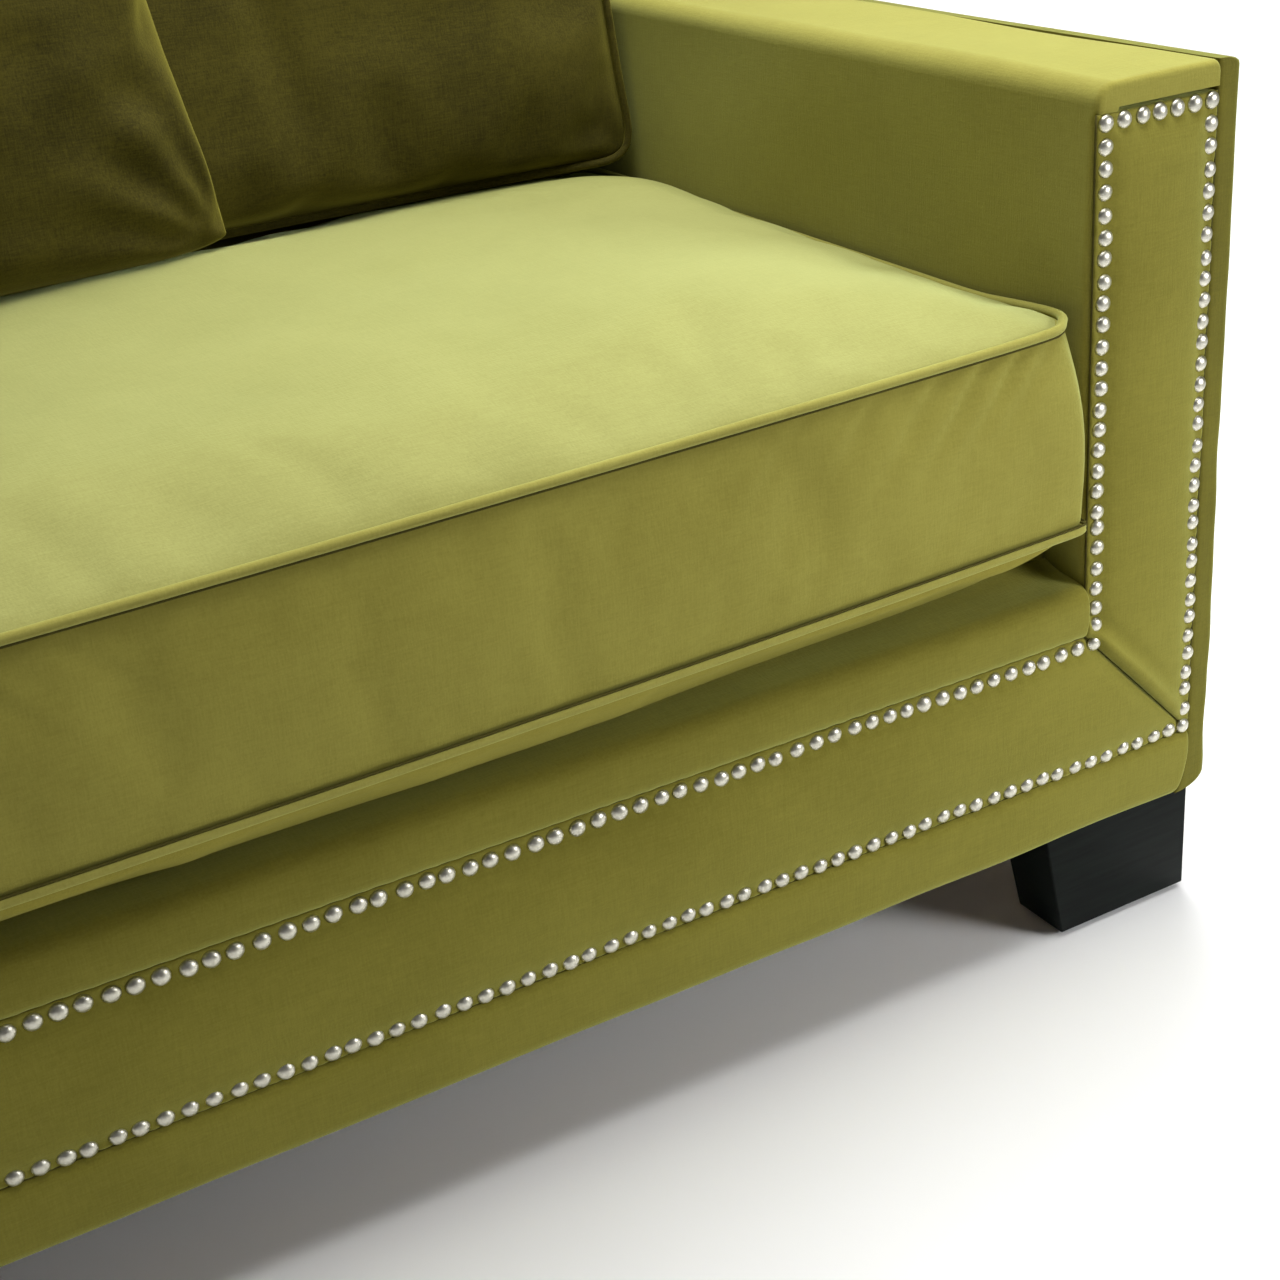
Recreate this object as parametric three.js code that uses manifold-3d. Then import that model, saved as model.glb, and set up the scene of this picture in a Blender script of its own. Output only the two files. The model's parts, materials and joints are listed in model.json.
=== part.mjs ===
// A two-seat velvet sofa with track arms, loose box cushions and a double row of nailheads.
// Millimetres. +X runs along the front, the front faces -Y, +Z is up. The origin is on the
// floor, at the middle of the sofa's box. Left and right are as seen from the front.
import * as THREE from 'three';
import { mergeVertices } from 'three/addons/utils/BufferGeometryUtils.js';
import Module from 'manifold-3d';

const wasm = await Module();
wasm.setup();

// Overall size
const SOFA_WIDTH = 2130;
const FRONT_Y = -410; // front plane of the upholstered frame
const BACK_Y = 435; // outside of the back
const ARM_HEIGHT = 640;
const BACK_HEIGHT = 870;
const ARM_WIDTH = 123;
const FRAME_BOTTOM = 92; // underside of the upholstered rail, the top of the legs
const GAP = 0.3; // between touching pieces

// Side lines, as distances from the middle
const OUTER_X = SOFA_WIDTH / 2;
const ARM_INNER_X = OUTER_X - ARM_WIDTH;
const SIDE_PANEL_THICKNESS = 20;
const SIDE_PANEL_X = OUTER_X - SIDE_PANEL_THICKNESS;

// Nailheads: centre lines of the rows and columns
const NAIL_INNER_X = 950;
const NAIL_OUTER_X = 1039;
const NAIL_INNER_Z = 246;
const NAIL_OUTER_Z = 151.5;
const NAIL_TOP_Z = 614;
const NAIL_STRIP_WIDTH = 10;
const NAIL_HEIGHT = 3.2;

// The padded band between the two rows of nails, mitred at the corners
const BAND_INNER_MARGIN = 8; // cloth beyond the inner nails
const BAND_OUTER_MARGIN = 6; // cloth beyond the outer nails
const BAND_INNER_Z = NAIL_INNER_Z + BAND_INNER_MARGIN;
const BAND_OUTER_Z = NAIL_OUTER_Z - BAND_OUTER_MARGIN;
const BAND_TOP_Z = NAIL_TOP_Z + BAND_OUTER_MARGIN;
const FRONT_PAD = 18; // padding in front of the timber

// Seat
const DECK_Z = 306;
const DECK_FRONT_Z = 293.5;
const SEAT_TOP_Z = 516;
const SEAT_REAR_Y = 286;
const SEAT_CORNER_Y = FRONT_Y - 12; // the corners overhang the frame a little
const SEAT_BOW_Y = FRONT_Y - 25; // the middle overhangs it further
const SEAT_CORNER_RADIUS = 30;
const SEAT_CROWN = { height: 26, inset: 22, rounds: 2 };
const DECK_THICKNESS = 13;
const DECK_EDGE_Y = 14; // the deck starts this far behind the front of the timber
const CUSHION_INNER_X = 3; // half the gap between the left and right cushions
const CUSHION_OUTER_X = 935;

// Back: its inside face and the back cushions lean by the rake
const RAKE = THREE.MathUtils.degToRad(8);
const BACK_FACE_Y = 288.5; // inside face at the height of the deck
const BACK_PAD = 25;
const BACK_PANEL_THICKNESS = 12;
const BACK_CUSHION_FACE_Y = 145;
const BACK_CUSHION_TOP_Z = 885;
const BACK_CUSHION_RADIUS = 45;
const BACK_CUSHION_CROWN = { height: 38, inset: 30, rounds: 2 };

// Throw pillows
const PILLOW_SIZE = 430;
const PILLOW_THICKNESS = 118;
const PILLOW_LEAN = THREE.MathUtils.degToRad(9);
const PILLOW_X = 302;
const PILLOW_FOOT_Y = 74;
const PILLOW_EDGE = 6; // thickness left at the knife edge
const PILLOW_CROWN_INSET = 170;
const PILLOW_ROUNDS = 4;

// Timber
const TIMBER_BOTTOM = FRAME_BOTTOM + GAP;
const TIMBER_FRONT_Y = FRONT_Y + FRONT_PAD;
const RAIL_THICKNESS = 32;
const RAIL_TOP = 285;
const POST_INNER_X = 962;
const POST_OUTER_X = SIDE_PANEL_X - 5;
const TOP_PAD = 28; // padding over the arm and the back
const FRONT_POST_DEPTH = 45;
const REAR_TIMBER_Y = BACK_Y - BACK_PANEL_THICKNESS - GAP;
const REAR_POST_Y = 336;
const ARM_TIMBER_TOP = ARM_HEIGHT - TOP_PAD;
const BACK_TIMBER_TOP = BACK_HEIGHT - TOP_PAD;
const SIDE_RAIL_TOP = 240;
const STRETCHER_BOTTOM = 130;
const STRETCHER_TOP = 210;
const CORNER_BLOCK = { along: 80, inward: 60, height: 80, bottom: 110 };
const ARM_RAIL = { width: 55, height: 34 };
const BACK_TOP_RAIL = { front: 400, height: 66 };
const BACK_LOWER_RAIL = { setback: 10, bottom: 330, top: 390 };
const DUST_COVER_THICKNESS = 1.5;

// Rounding of the upholstered edges
const ARM_ROUNDING = 10;
const BACK_ROUNDING = 12;
const SIDE_ROUNDING = 4;
const OVERCUT = 50; // how far cutting blocks reach past what they cut
const CUT_LOW_Z = 200; // below the lowest padding of the arms
const BACK_PAD_LOW_Z = 300;

// Legs: wide shallow blocks, tapered towards the middle of the sofa
const LEG_OUTER_X = 1052;
const LEG_TOP_WIDTH = 138;
const LEG_BOTTOM_WIDTH = 122;
const LEG_TOP_DEPTH = 56;
const LEG_BOTTOM_DEPTH = 50;
const LEG_SETBACK = 5;
const GLIDE_HEIGHT = 4;
const GLIDE_RADIUS = 15;
const BOLT_RADIUS = 4;
const BOLT_X = 990;
const BOLT_SETBACK = 34;
const BOLT_IN_LEG = 40;
const BOLT_IN_POST = 45;
const BOLT_CLEARANCE = 0.4;

// Sinuous seat springs
const SPRING_COUNT = 8;
const SPRING_SPACING = 226;
const SPRING_HALF_LOOPS = 16;
const SPRING_HALF_WIDTH = 24;
const SPRING_WIRE_RADIUS = 1.9;
const SPRING_RISE = 1.5;
const SPRING_END_INSET = 18; // from the outside of each rail

const SIDES = { left: -1, right: 1 };
const sofa = new THREE.Group();

function finish(color, roughness, metalness = 0) {
  return () => new THREE.MeshStandardMaterial({ color, roughness, metalness });
}
const velvet = finish(0x938c3c, 0.85);
const darkVelvet = finish(0x55501e, 0.9);
const nickel = finish(0xcfcbb8, 0.3, 1);
const timber = finish(0xc19a63, 0.75);
const blackLacquer = finish(0x0c0f0d, 0.25);
const steel = finish(0x8a8d90, 0.4, 1);
const nylon = finish(0x1a1a1a, 0.6);
const blackCloth = finish(0x161616, 0.95);
const canvas = finish(0x8b8440, 0.95);

function add(name, geometry, material) {
  const mesh = new THREE.Mesh(geometry, material());
  mesh.name = name;
  sofa.add(mesh);
  return mesh;
}

function polygon(points) {
  return new THREE.Shape(points.map(([a, b]) => new THREE.Vector2(a, b)));
}

function extrude(shape, depth) {
  return new THREE.ExtrudeGeometry(shape, { depth, bevelEnabled: false, curveSegments: 3 });
}

// An outline of y and z, extruded along X
function alongX(points, x0, x1) {
  const axes = new THREE.Matrix4().makeBasis(
    new THREE.Vector3(0, 1, 0),
    new THREE.Vector3(0, 0, 1),
    new THREE.Vector3(1, 0, 0),
  );
  const start = Math.min(x0, x1);
  return extrude(polygon(points), Math.abs(x1 - x0)).applyMatrix4(axes).translate(start, 0, 0);
}

// An outline of x and z, extruded along Y
function alongY(points, y0, y1) {
  return extrude(polygon(points), y1 - y0).rotateX(Math.PI / 2).translate(0, y1, 0);
}

// A block between two corners
function block([x0, y0, z0], [x1, y1, z1]) {
  const geometry = new THREE.BoxGeometry(Math.abs(x1 - x0), Math.abs(y1 - y0), Math.abs(z1 - z0));
  return geometry.translate((x0 + x1) / 2, (y0 + y1) / 2, (z0 + z1) / 2);
}

function upright(radius, z0, z1, x, y, sides = 12) {
  return new THREE.CylinderGeometry(radius, radius, z1 - z0, sides)
    .rotateX(Math.PI / 2)
    .translate(x, y, (z0 + z1) / 2);
}

function toSolid(geometry) {
  const bare = geometry.clone();
  bare.deleteAttribute('normal');
  bare.deleteAttribute('uv');
  const merged = mergeVertices(bare, 1e-3);
  return new wasm.Manifold(new wasm.Mesh({
    numProp: 3,
    vertProperties: new Float32Array(merged.attributes.position.array),
    triVerts: new Uint32Array(merged.index.array),
  }));
}

function toGeometry(solid) {
  const mesh = solid.getMesh();
  const geometry = new THREE.BufferGeometry();
  geometry.setAttribute('position', new THREE.BufferAttribute(mesh.vertProperties, 3));
  geometry.setIndex(new THREE.BufferAttribute(mesh.triVerts, 1));
  geometry.computeVertexNormals();
  return geometry;
}

function cut(geometry, ...tools) {
  const solid = tools.reduce((rest, tool) => rest.subtract(toSolid(tool)), toSolid(geometry));
  return toGeometry(solid);
}

// The y of the inside face of the back at height z
function backFaceY(z) {
  return BACK_FACE_Y + (z - DECK_Z) * Math.tan(RAKE);
}

// Leg: front and outer faces upright, the other two tapered. end is -1 at the front, 1 behind.
function leg(side, end) {
  const outerY = end < 0 ? FRONT_Y + LEG_SETBACK : BACK_Y - LEG_SETBACK;
  const ring = (width, depth, z) => [
    [side * LEG_OUTER_X, outerY, z],
    [side * (LEG_OUTER_X - width), outerY, z],
    [side * (LEG_OUTER_X - width), outerY - end * depth, z],
    [side * LEG_OUTER_X, outerY - end * depth, z],
  ];
  const bottom = ring(LEG_BOTTOM_WIDTH, LEG_BOTTOM_DEPTH, GLIDE_HEIGHT + GAP);
  const top = ring(LEG_TOP_WIDTH, LEG_TOP_DEPTH, FRAME_BOTTOM - GAP);
  const faces = [[0, 1, 2], [0, 2, 3], [4, 6, 5], [4, 7, 6]];
  for (let i = 0; i < 4; i += 1) {
    const next = (i + 1) % 4;
    faces.push([i, i + 4, next + 4], [i, next + 4, next]);
  }
  const mirrored = side * end > 0;
  const geometry = new THREE.BufferGeometry();
  geometry.setAttribute('position', new THREE.Float32BufferAttribute([...bottom, ...top].flat(), 3));
  geometry.setIndex(faces.flatMap(([a, b, c]) => (mirrored ? [a, c, b] : [a, b, c])));
  geometry.computeVertexNormals();
  const boltHole = upright(
    BOLT_RADIUS + BOLT_CLEARANCE,
    FRAME_BOTTOM - BOLT_IN_LEG - 1,
    FRAME_BOTTOM + 5,
    side * BOLT_X,
    boltY(end),
  );
  return cut(geometry, boltHole);
}

function boltY(end) {
  return end < 0 ? FRONT_Y + BOLT_SETBACK : BACK_Y - BOLT_SETBACK;
}

function boltSocket(side, end) {
  return upright(
    BOLT_RADIUS + BOLT_CLEARANCE,
    TIMBER_BOTTOM - 5,
    TIMBER_BOTTOM + BOLT_IN_POST + 1,
    side * BOLT_X,
    boltY(end),
  );
}

function hangerBolt(side, end) {
  const low = FRAME_BOTTOM - BOLT_IN_LEG;
  return upright(BOLT_RADIUS, low, TIMBER_BOTTOM + BOLT_IN_POST, side * BOLT_X, boltY(end));
}

function glide(side, end) {
  const x = side * (LEG_OUTER_X - LEG_BOTTOM_WIDTH / 2);
  const outerY = end < 0 ? FRONT_Y + LEG_SETBACK : BACK_Y - LEG_SETBACK;
  return upright(GLIDE_RADIUS, 0, GLIDE_HEIGHT, x, outerY - end * (LEG_BOTTOM_DEPTH / 2), 16);
}

function frontPost(side) {
  const post = block(
    [side * POST_INNER_X, TIMBER_FRONT_Y, TIMBER_BOTTOM],
    [side * POST_OUTER_X, TIMBER_FRONT_Y + FRONT_POST_DEPTH, ARM_TIMBER_TOP],
  );
  return cut(post, boltSocket(side, -1));
}

// The rear post follows the rake of the back above the deck
function rearPost(side) {
  const outline = [
    [REAR_POST_Y, TIMBER_BOTTOM],
    [REAR_TIMBER_Y, TIMBER_BOTTOM],
    [REAR_TIMBER_Y, BACK_TIMBER_TOP],
    [backFaceY(BACK_TIMBER_TOP) + BACK_PAD + GAP, BACK_TIMBER_TOP],
    [REAR_POST_Y, DECK_Z],
  ];
  return cut(alongX(outline, side * POST_INNER_X, side * POST_OUTER_X), boltSocket(side, 1));
}

function frontRail() {
  const x = POST_INNER_X - GAP;
  return block([-x, TIMBER_FRONT_Y, TIMBER_BOTTOM], [x, TIMBER_FRONT_Y + RAIL_THICKNESS, RAIL_TOP]);
}

function rearRail() {
  const x = POST_INNER_X - GAP;
  return block([-x, REAR_TIMBER_Y - RAIL_THICKNESS, TIMBER_BOTTOM], [x, REAR_TIMBER_Y, RAIL_TOP]);
}

function sideRail(side) {
  return block(
    [side * (POST_OUTER_X - RAIL_THICKNESS), TIMBER_FRONT_Y + FRONT_POST_DEPTH + GAP, TIMBER_BOTTOM],
    [side * POST_OUTER_X, REAR_POST_Y - GAP, SIDE_RAIL_TOP],
  );
}

function centreStretcher() {
  return block(
    [-RAIL_THICKNESS / 2, TIMBER_FRONT_Y + RAIL_THICKNESS + GAP, STRETCHER_BOTTOM],
    [RAIL_THICKNESS / 2, REAR_TIMBER_Y - RAIL_THICKNESS - GAP, STRETCHER_TOP],
  );
}

// A three-cornered glue block inside the front or rear rail, against the post
function cornerBlock(side, end) {
  const y = end < 0
    ? TIMBER_FRONT_Y + RAIL_THICKNESS + GAP
    : REAR_TIMBER_Y - RAIL_THICKNESS - GAP;
  const x = side * (POST_INNER_X - GAP);
  const { along, inward, height, bottom } = CORNER_BLOCK;
  const outline = polygon([[x, y], [x - side * along, y], [x, y - end * inward]]);
  return extrude(outline, height).translate(0, 0, bottom);
}

function armTopRail(side) {
  const front = TIMBER_FRONT_Y + FRONT_POST_DEPTH + GAP;
  return block(
    [side * (POST_OUTER_X - ARM_RAIL.width), front, ARM_TIMBER_TOP - ARM_RAIL.height],
    [side * POST_OUTER_X, REAR_POST_Y - GAP, ARM_TIMBER_TOP],
  );
}

function backTopRail() {
  const x = POST_INNER_X - GAP;
  const low = BACK_TIMBER_TOP - BACK_TOP_RAIL.height;
  return block([-x, BACK_TOP_RAIL.front, low], [x, REAR_TIMBER_Y, BACK_TIMBER_TOP]);
}

function backLowerRail() {
  const x = POST_INNER_X - GAP;
  const front = REAR_POST_Y + BACK_LOWER_RAIL.setback;
  return block([-x, front, BACK_LOWER_RAIL.bottom], [x, front + RAIL_THICKNESS, BACK_LOWER_RAIL.top]);
}

// A zigzag wire spring from the front rail to the rear rail, slightly arched
function sinuousSpring(x) {
  const y0 = TIMBER_FRONT_Y + SPRING_END_INSET;
  const y1 = REAR_TIMBER_Y - SPRING_END_INSET;
  const points = [];
  for (let i = 0; i <= SPRING_HALF_LOOPS; i += 1) {
    const t = i / SPRING_HALF_LOOPS;
    points.push(new THREE.Vector3(
      x + (i % 2 ? SPRING_HALF_WIDTH : -SPRING_HALF_WIDTH),
      y0 + t * (y1 - y0),
      RAIL_TOP + SPRING_WIRE_RADIUS + GAP + SPRING_RISE * Math.sin(Math.PI * t),
    ));
  }
  const wire = new THREE.Shape().absarc(0, 0, SPRING_WIRE_RADIUS, 0, 2 * Math.PI);
  return new THREE.ExtrudeGeometry(wire, {
    extrudePath: new THREE.CatmullRomCurve3(points),
    steps: SPRING_HALF_LOOPS * 3,
    curveSegments: 3,
    bevelEnabled: false,
  });
}

function deckPad() {
  const x = ARM_INNER_X - 1;
  const front = TIMBER_FRONT_Y + DECK_EDGE_Y + 1;
  return block([-x, front, DECK_Z - DECK_THICKNESS], [x, BACK_FACE_Y - 1, DECK_Z]);
}

// Black cloth under the seat, cut round the four posts
function dustCover() {
  const wide = POST_OUTER_X - RAIL_THICKNESS - GAP;
  const narrow = POST_INNER_X - GAP;
  const front = TIMBER_FRONT_Y + RAIL_THICKNESS + GAP;
  const behindFrontPosts = TIMBER_FRONT_Y + FRONT_POST_DEPTH + GAP;
  const aheadOfRearPosts = REAR_POST_Y - GAP;
  const rear = REAR_TIMBER_Y - RAIL_THICKNESS - GAP;
  const rightHalf = [
    [narrow, front],
    [narrow, behindFrontPosts],
    [wide, behindFrontPosts],
    [wide, aheadOfRearPosts],
    [narrow, aheadOfRearPosts],
    [narrow, rear],
  ];
  const leftHalf = rightHalf.map(([x, y]) => [-x, y]).reverse();
  const outline = polygon([...rightHalf, ...leftHalf]);
  return extrude(outline, DUST_COVER_THICKNESS).translate(0, 0, TIMBER_BOTTOM);
}

// The roll above the inner nails, rising to the deck
function frontUpperBorder() {
  const behind = TIMBER_FRONT_Y + DECK_EDGE_Y;
  const outline = [
    [FRONT_Y, BAND_INNER_Z + GAP],
    [TIMBER_FRONT_Y - GAP, BAND_INNER_Z + GAP],
    [TIMBER_FRONT_Y - GAP, RAIL_TOP + GAP],
    [behind, RAIL_TOP + GAP],
    [behind, DECK_Z],
    [FRONT_Y + 12, DECK_FRONT_Z + 5],
    [FRONT_Y + 4, DECK_FRONT_Z],
    [FRONT_Y, DECK_FRONT_Z - 6],
  ];
  return alongX(outline, -ARM_INNER_X + GAP, ARM_INNER_X - GAP);
}

// The band below the inner nails, mitred into the arm bands
function frontBand() {
  const outline = [
    [-ARM_INNER_X + GAP, BAND_INNER_Z],
    [ARM_INNER_X - GAP, BAND_INNER_Z],
    [SIDE_PANEL_X - GAP, BAND_OUTER_Z + GAP],
    [-SIDE_PANEL_X + GAP, BAND_OUTER_Z + GAP],
  ];
  return alongY(outline, FRONT_Y, TIMBER_FRONT_Y - GAP);
}

function frontLowerBorder() {
  const x = SIDE_PANEL_X - GAP;
  return block([-x, FRONT_Y, FRAME_BOTTOM], [x, TIMBER_FRONT_Y - GAP, BAND_OUTER_Z]);
}

function armBand(side) {
  const outline = [
    [side * (ARM_INNER_X + GAP), BAND_INNER_Z + GAP],
    [side * (SIDE_PANEL_X - GAP), BAND_OUTER_Z + 3 * GAP],
    [side * (SIDE_PANEL_X - GAP), BAND_TOP_Z],
    [side * (ARM_INNER_X + GAP), BAND_TOP_Z],
  ];
  return alongY(outline, FRONT_Y, TIMBER_FRONT_Y - GAP);
}

// Padding of the inside and the top of an arm, open at the front for the arm band
function armPad(side) {
  const inner = side * ARM_INNER_X;
  const wall = side * (POST_INNER_X - GAP);
  const outer = side * (SIDE_PANEL_X - GAP);
  const rounding = side * ARM_ROUNDING;
  const outline = [
    [inner, RAIL_TOP + GAP],
    [wall, RAIL_TOP + GAP],
    [wall, ARM_TIMBER_TOP + GAP],
    [outer, ARM_TIMBER_TOP + GAP],
    [outer, ARM_HEIGHT],
    [inner + rounding, ARM_HEIGHT],
    [inner + rounding * 0.3, ARM_HEIGHT - 3],
    [inner, ARM_HEIGHT - ARM_ROUNDING],
  ];
  const pad = alongY(outline, FRONT_Y, REAR_POST_Y - GAP);
  const frontOpening = block(
    [side * (ARM_INNER_X - OVERCUT), FRONT_Y - OVERCUT, CUT_LOW_Z],
    [side * OUTER_X, TIMBER_FRONT_Y, BAND_TOP_Z + GAP],
  );
  return cut(pad, frontOpening, behindBackFace(side));
}

// The wedge behind the raked face of the back, where the arm pad stops
function behindBackFace(side) {
  const low = CUT_LOW_Z;
  const high = ARM_HEIGHT + OVERCUT;
  const outline = [
    [backFaceY(low) - GAP, low],
    [BACK_Y, low],
    [BACK_Y, high],
    [backFaceY(high) - GAP, high],
  ];
  return alongX(outline, side * (ARM_INNER_X - OVERCUT), side * OUTER_X);
}

// The chamfered top edge of the back's inside face, as points of y and z
function backTopCorner() {
  const low = BACK_HEIGHT - BACK_ROUNDING;
  return [[backFaceY(low) + BACK_ROUNDING, BACK_HEIGHT], [backFaceY(low), low]];
}

// The outside of an arm, running up the side of the back
function sidePanel(side) {
  const outline = [
    [FRONT_Y, FRAME_BOTTOM],
    [BACK_Y, FRAME_BOTTOM],
    [BACK_Y, BACK_HEIGHT],
    ...backTopCorner(),
    [backFaceY(ARM_HEIGHT), ARM_HEIGHT],
    [FRONT_Y + SIDE_ROUNDING, ARM_HEIGHT],
    [FRONT_Y, ARM_HEIGHT - SIDE_ROUNDING],
  ];
  return alongX(outline, side * SIDE_PANEL_X, side * OUTER_X);
}

// Padding of the inside and the top of the back, over the arms as well
function backPad() {
  const low = BACK_PAD_LOW_Z;
  const rear = REAR_TIMBER_Y;
  const coverBack = BACK_TIMBER_TOP + GAP;
  const outline = [
    [backFaceY(low), low],
    [backFaceY(low) + BACK_PAD, low],
    [backFaceY(coverBack) + BACK_PAD, coverBack],
    [rear, coverBack],
    [rear, BACK_HEIGHT],
    ...backTopCorner(),
  ];
  const x = SIDE_PANEL_X - GAP;
  const overArm = (side) => block(
    [side * (ARM_INNER_X - GAP), BACK_FACE_Y - OVERCUT, low - OVERCUT],
    [side * OUTER_X, BACK_Y + OVERCUT, ARM_HEIGHT + GAP],
  );
  return cut(alongX(outline, -x, x), overArm(-1), overArm(1));
}

function backPanel() {
  const x = SIDE_PANEL_X - GAP;
  return block([-x, BACK_Y - BACK_PANEL_THICKNESS, FRAME_BOTTOM], [x, BACK_Y, BACK_HEIGHT]);
}

// A flat strip of nails in the front plane, along x or z
function nailStrip([x0, z0], [x1, z1]) {
  const half = NAIL_STRIP_WIDTH / 2;
  const low = [Math.min(x0, x1) - half, FRONT_Y - NAIL_HEIGHT - GAP, Math.min(z0, z1) - half];
  const high = [Math.max(x0, x1) + half, FRONT_Y - GAP, Math.max(z0, z1) + half];
  return block(low, high);
}

// The nails round an arm band: up the inside, over the top and down the outside
function armNails(side) {
  const low = [side * NAIL_INNER_X, NAIL_INNER_Z + NAIL_STRIP_WIDTH + GAP];
  const topInner = [side * NAIL_INNER_X, NAIL_TOP_Z];
  const topOuter = [side * NAIL_OUTER_X, NAIL_TOP_Z];
  const foot = [side * NAIL_OUTER_X, NAIL_OUTER_Z + NAIL_STRIP_WIDTH + GAP];
  const strips = [nailStrip(low, topInner), nailStrip(topInner, topOuter), nailStrip(topOuter, foot)];
  return toGeometry(strips.map(toSolid).reduce((all, strip) => all.add(strip)));
}

// Plan of a seat cushion: round corners and a front that bows forward
function seatOutline(side) {
  const r = SEAT_CORNER_RADIUS;
  const x0 = side * CUSHION_INNER_X;
  const x1 = side * CUSHION_OUTER_X;
  const inset = side * r;
  const shape = new THREE.Shape();
  shape.moveTo(x0, SEAT_CORNER_Y + r);
  shape.quadraticCurveTo(x0, SEAT_CORNER_Y, x0 + inset, SEAT_CORNER_Y);
  shape.quadraticCurveTo((x0 + x1) / 2, 2 * SEAT_BOW_Y - SEAT_CORNER_Y, x1 - inset, SEAT_CORNER_Y);
  shape.quadraticCurveTo(x1, SEAT_CORNER_Y, x1, SEAT_CORNER_Y + r);
  shape.lineTo(x1, SEAT_REAR_Y - r);
  shape.quadraticCurveTo(x1, SEAT_REAR_Y, x1 - inset, SEAT_REAR_Y);
  shape.lineTo(x0 + inset, SEAT_REAR_Y);
  shape.quadraticCurveTo(x0, SEAT_REAR_Y, x0, SEAT_REAR_Y - r);
  return shape;
}

// A soft block: an outline extruded between two crowned faces
function softExtrusion(shape, thickness, { height, inset, rounds }) {
  return new THREE.ExtrudeGeometry(shape, {
    depth: thickness - 2 * height,
    bevelThickness: height,
    bevelSize: inset,
    bevelOffset: -inset,
    bevelSegments: rounds,
    curveSegments: 4,
  }).translate(0, 0, height);
}

function seatCushion(side) {
  const bottom = DECK_Z + GAP;
  const cushion = softExtrusion(seatOutline(side), SEAT_TOP_Z - bottom, SEAT_CROWN);
  return cushion.translate(0, 0, bottom);
}

function roundedRectangle(width, height, r) {
  const w = width / 2;
  const h = height / 2;
  const shape = new THREE.Shape();
  shape.moveTo(-w, -h + r);
  shape.quadraticCurveTo(-w, -h, -w + r, -h);
  shape.lineTo(w - r, -h);
  shape.quadraticCurveTo(w, -h, w, -h + r);
  shape.lineTo(w, h - r);
  shape.quadraticCurveTo(w, h, w - r, h);
  shape.lineTo(-w + r, h);
  shape.quadraticCurveTo(-w, h, -w, h - r);
  return shape;
}

// The back cushion leans with the back, and its foot lies flat on the seat cushion
function backCushion(side) {
  const foot = SEAT_TOP_Z + GAP;
  const height = BACK_CUSHION_TOP_Z - foot;
  const rear = backFaceY(foot) - 1;
  const width = CUSHION_OUTER_X - CUSHION_INNER_X;
  const lean = new THREE.Matrix4().set(1, 0, 0, 0, 0, 1, Math.tan(RAKE), 0, 0, 0, 1, 0, 0, 0, 0, 1);
  const outline = roundedRectangle(width, height, BACK_CUSHION_RADIUS);
  return softExtrusion(outline, rear - BACK_CUSHION_FACE_Y, BACK_CUSHION_CROWN)
    .rotateX(Math.PI / 2)
    .translate(0, 0, height / 2)
    .applyMatrix4(lean)
    .translate(side * (CUSHION_INNER_X + CUSHION_OUTER_X) / 2, rear, foot);
}

function throwPillow() {
  const crown = {
    height: (PILLOW_THICKNESS - PILLOW_EDGE) / 2,
    inset: PILLOW_CROWN_INSET,
    rounds: PILLOW_ROUNDS,
  };
  const half = PILLOW_SIZE / 2;
  const square = polygon([[-half, -half], [half, -half], [half, half], [-half, half]]);
  return softExtrusion(square, PILLOW_THICKNESS, crown)
    .translate(0, 0, -PILLOW_THICKNESS / 2)
    .rotateX(Math.PI / 2);
}

for (const [where, side] of Object.entries(SIDES)) {
  for (const [row, end] of [['front', -1], ['rear', 1]]) {
    add(`leg_${row}_${where}`, leg(side, end), blackLacquer);
    add(`glide_${row}_${where}`, glide(side, end), nylon);
    add(`hanger_bolt_${row}_${where}`, hangerBolt(side, end), steel);
    add(`corner_block_${row}_${where}`, cornerBlock(side, end), timber);
  }
  add(`front_post_${where}`, frontPost(side), timber);
  add(`rear_post_${where}`, rearPost(side), timber);
  add(`side_rail_${where}`, sideRail(side), timber);
  add(`arm_top_rail_${where}`, armTopRail(side), timber);
  add(`arm_band_${where}`, armBand(side), velvet);
  add(`arm_pad_${where}`, armPad(side), velvet);
  add(`side_panel_${where}`, sidePanel(side), velvet);
  add(`nail_row_arm_${where}`, armNails(side), nickel);
  add(`seat_cushion_${where}`, seatCushion(side), velvet);
  add(`back_cushion_${where}`, backCushion(side), darkVelvet);

  const pillow = add(`throw_pillow_${where}`, throwPillow(), darkVelvet);
  const half = PILLOW_SIZE / 2;
  const lowest = half * Math.cos(PILLOW_LEAN) + (PILLOW_EDGE / 2) * Math.sin(PILLOW_LEAN);
  pillow.rotation.x = -PILLOW_LEAN;
  pillow.position.set(
    side * PILLOW_X,
    PILLOW_FOOT_Y + half * Math.sin(PILLOW_LEAN),
    SEAT_TOP_Z + GAP + lowest,
  );
}

add('front_rail', frontRail(), timber);
add('rear_rail', rearRail(), timber);
add('centre_stretcher', centreStretcher(), timber);
add('back_top_rail', backTopRail(), timber);
add('back_lower_rail', backLowerRail(), timber);
add('deck_pad', deckPad(), canvas);
add('dust_cover', dustCover(), blackCloth);
add('front_upper_border', frontUpperBorder(), velvet);
add('front_band', frontBand(), velvet);
add('front_lower_border', frontLowerBorder(), velvet);
add('back_pad', backPad(), velvet);
add('back_panel', backPanel(), velvet);
add('nail_row_rail_inner', nailStrip([-NAIL_INNER_X, NAIL_INNER_Z], [NAIL_INNER_X, NAIL_INNER_Z]), nickel);
add('nail_row_rail_outer', nailStrip([-NAIL_OUTER_X, NAIL_OUTER_Z], [NAIL_OUTER_X, NAIL_OUTER_Z]), nickel);

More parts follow.
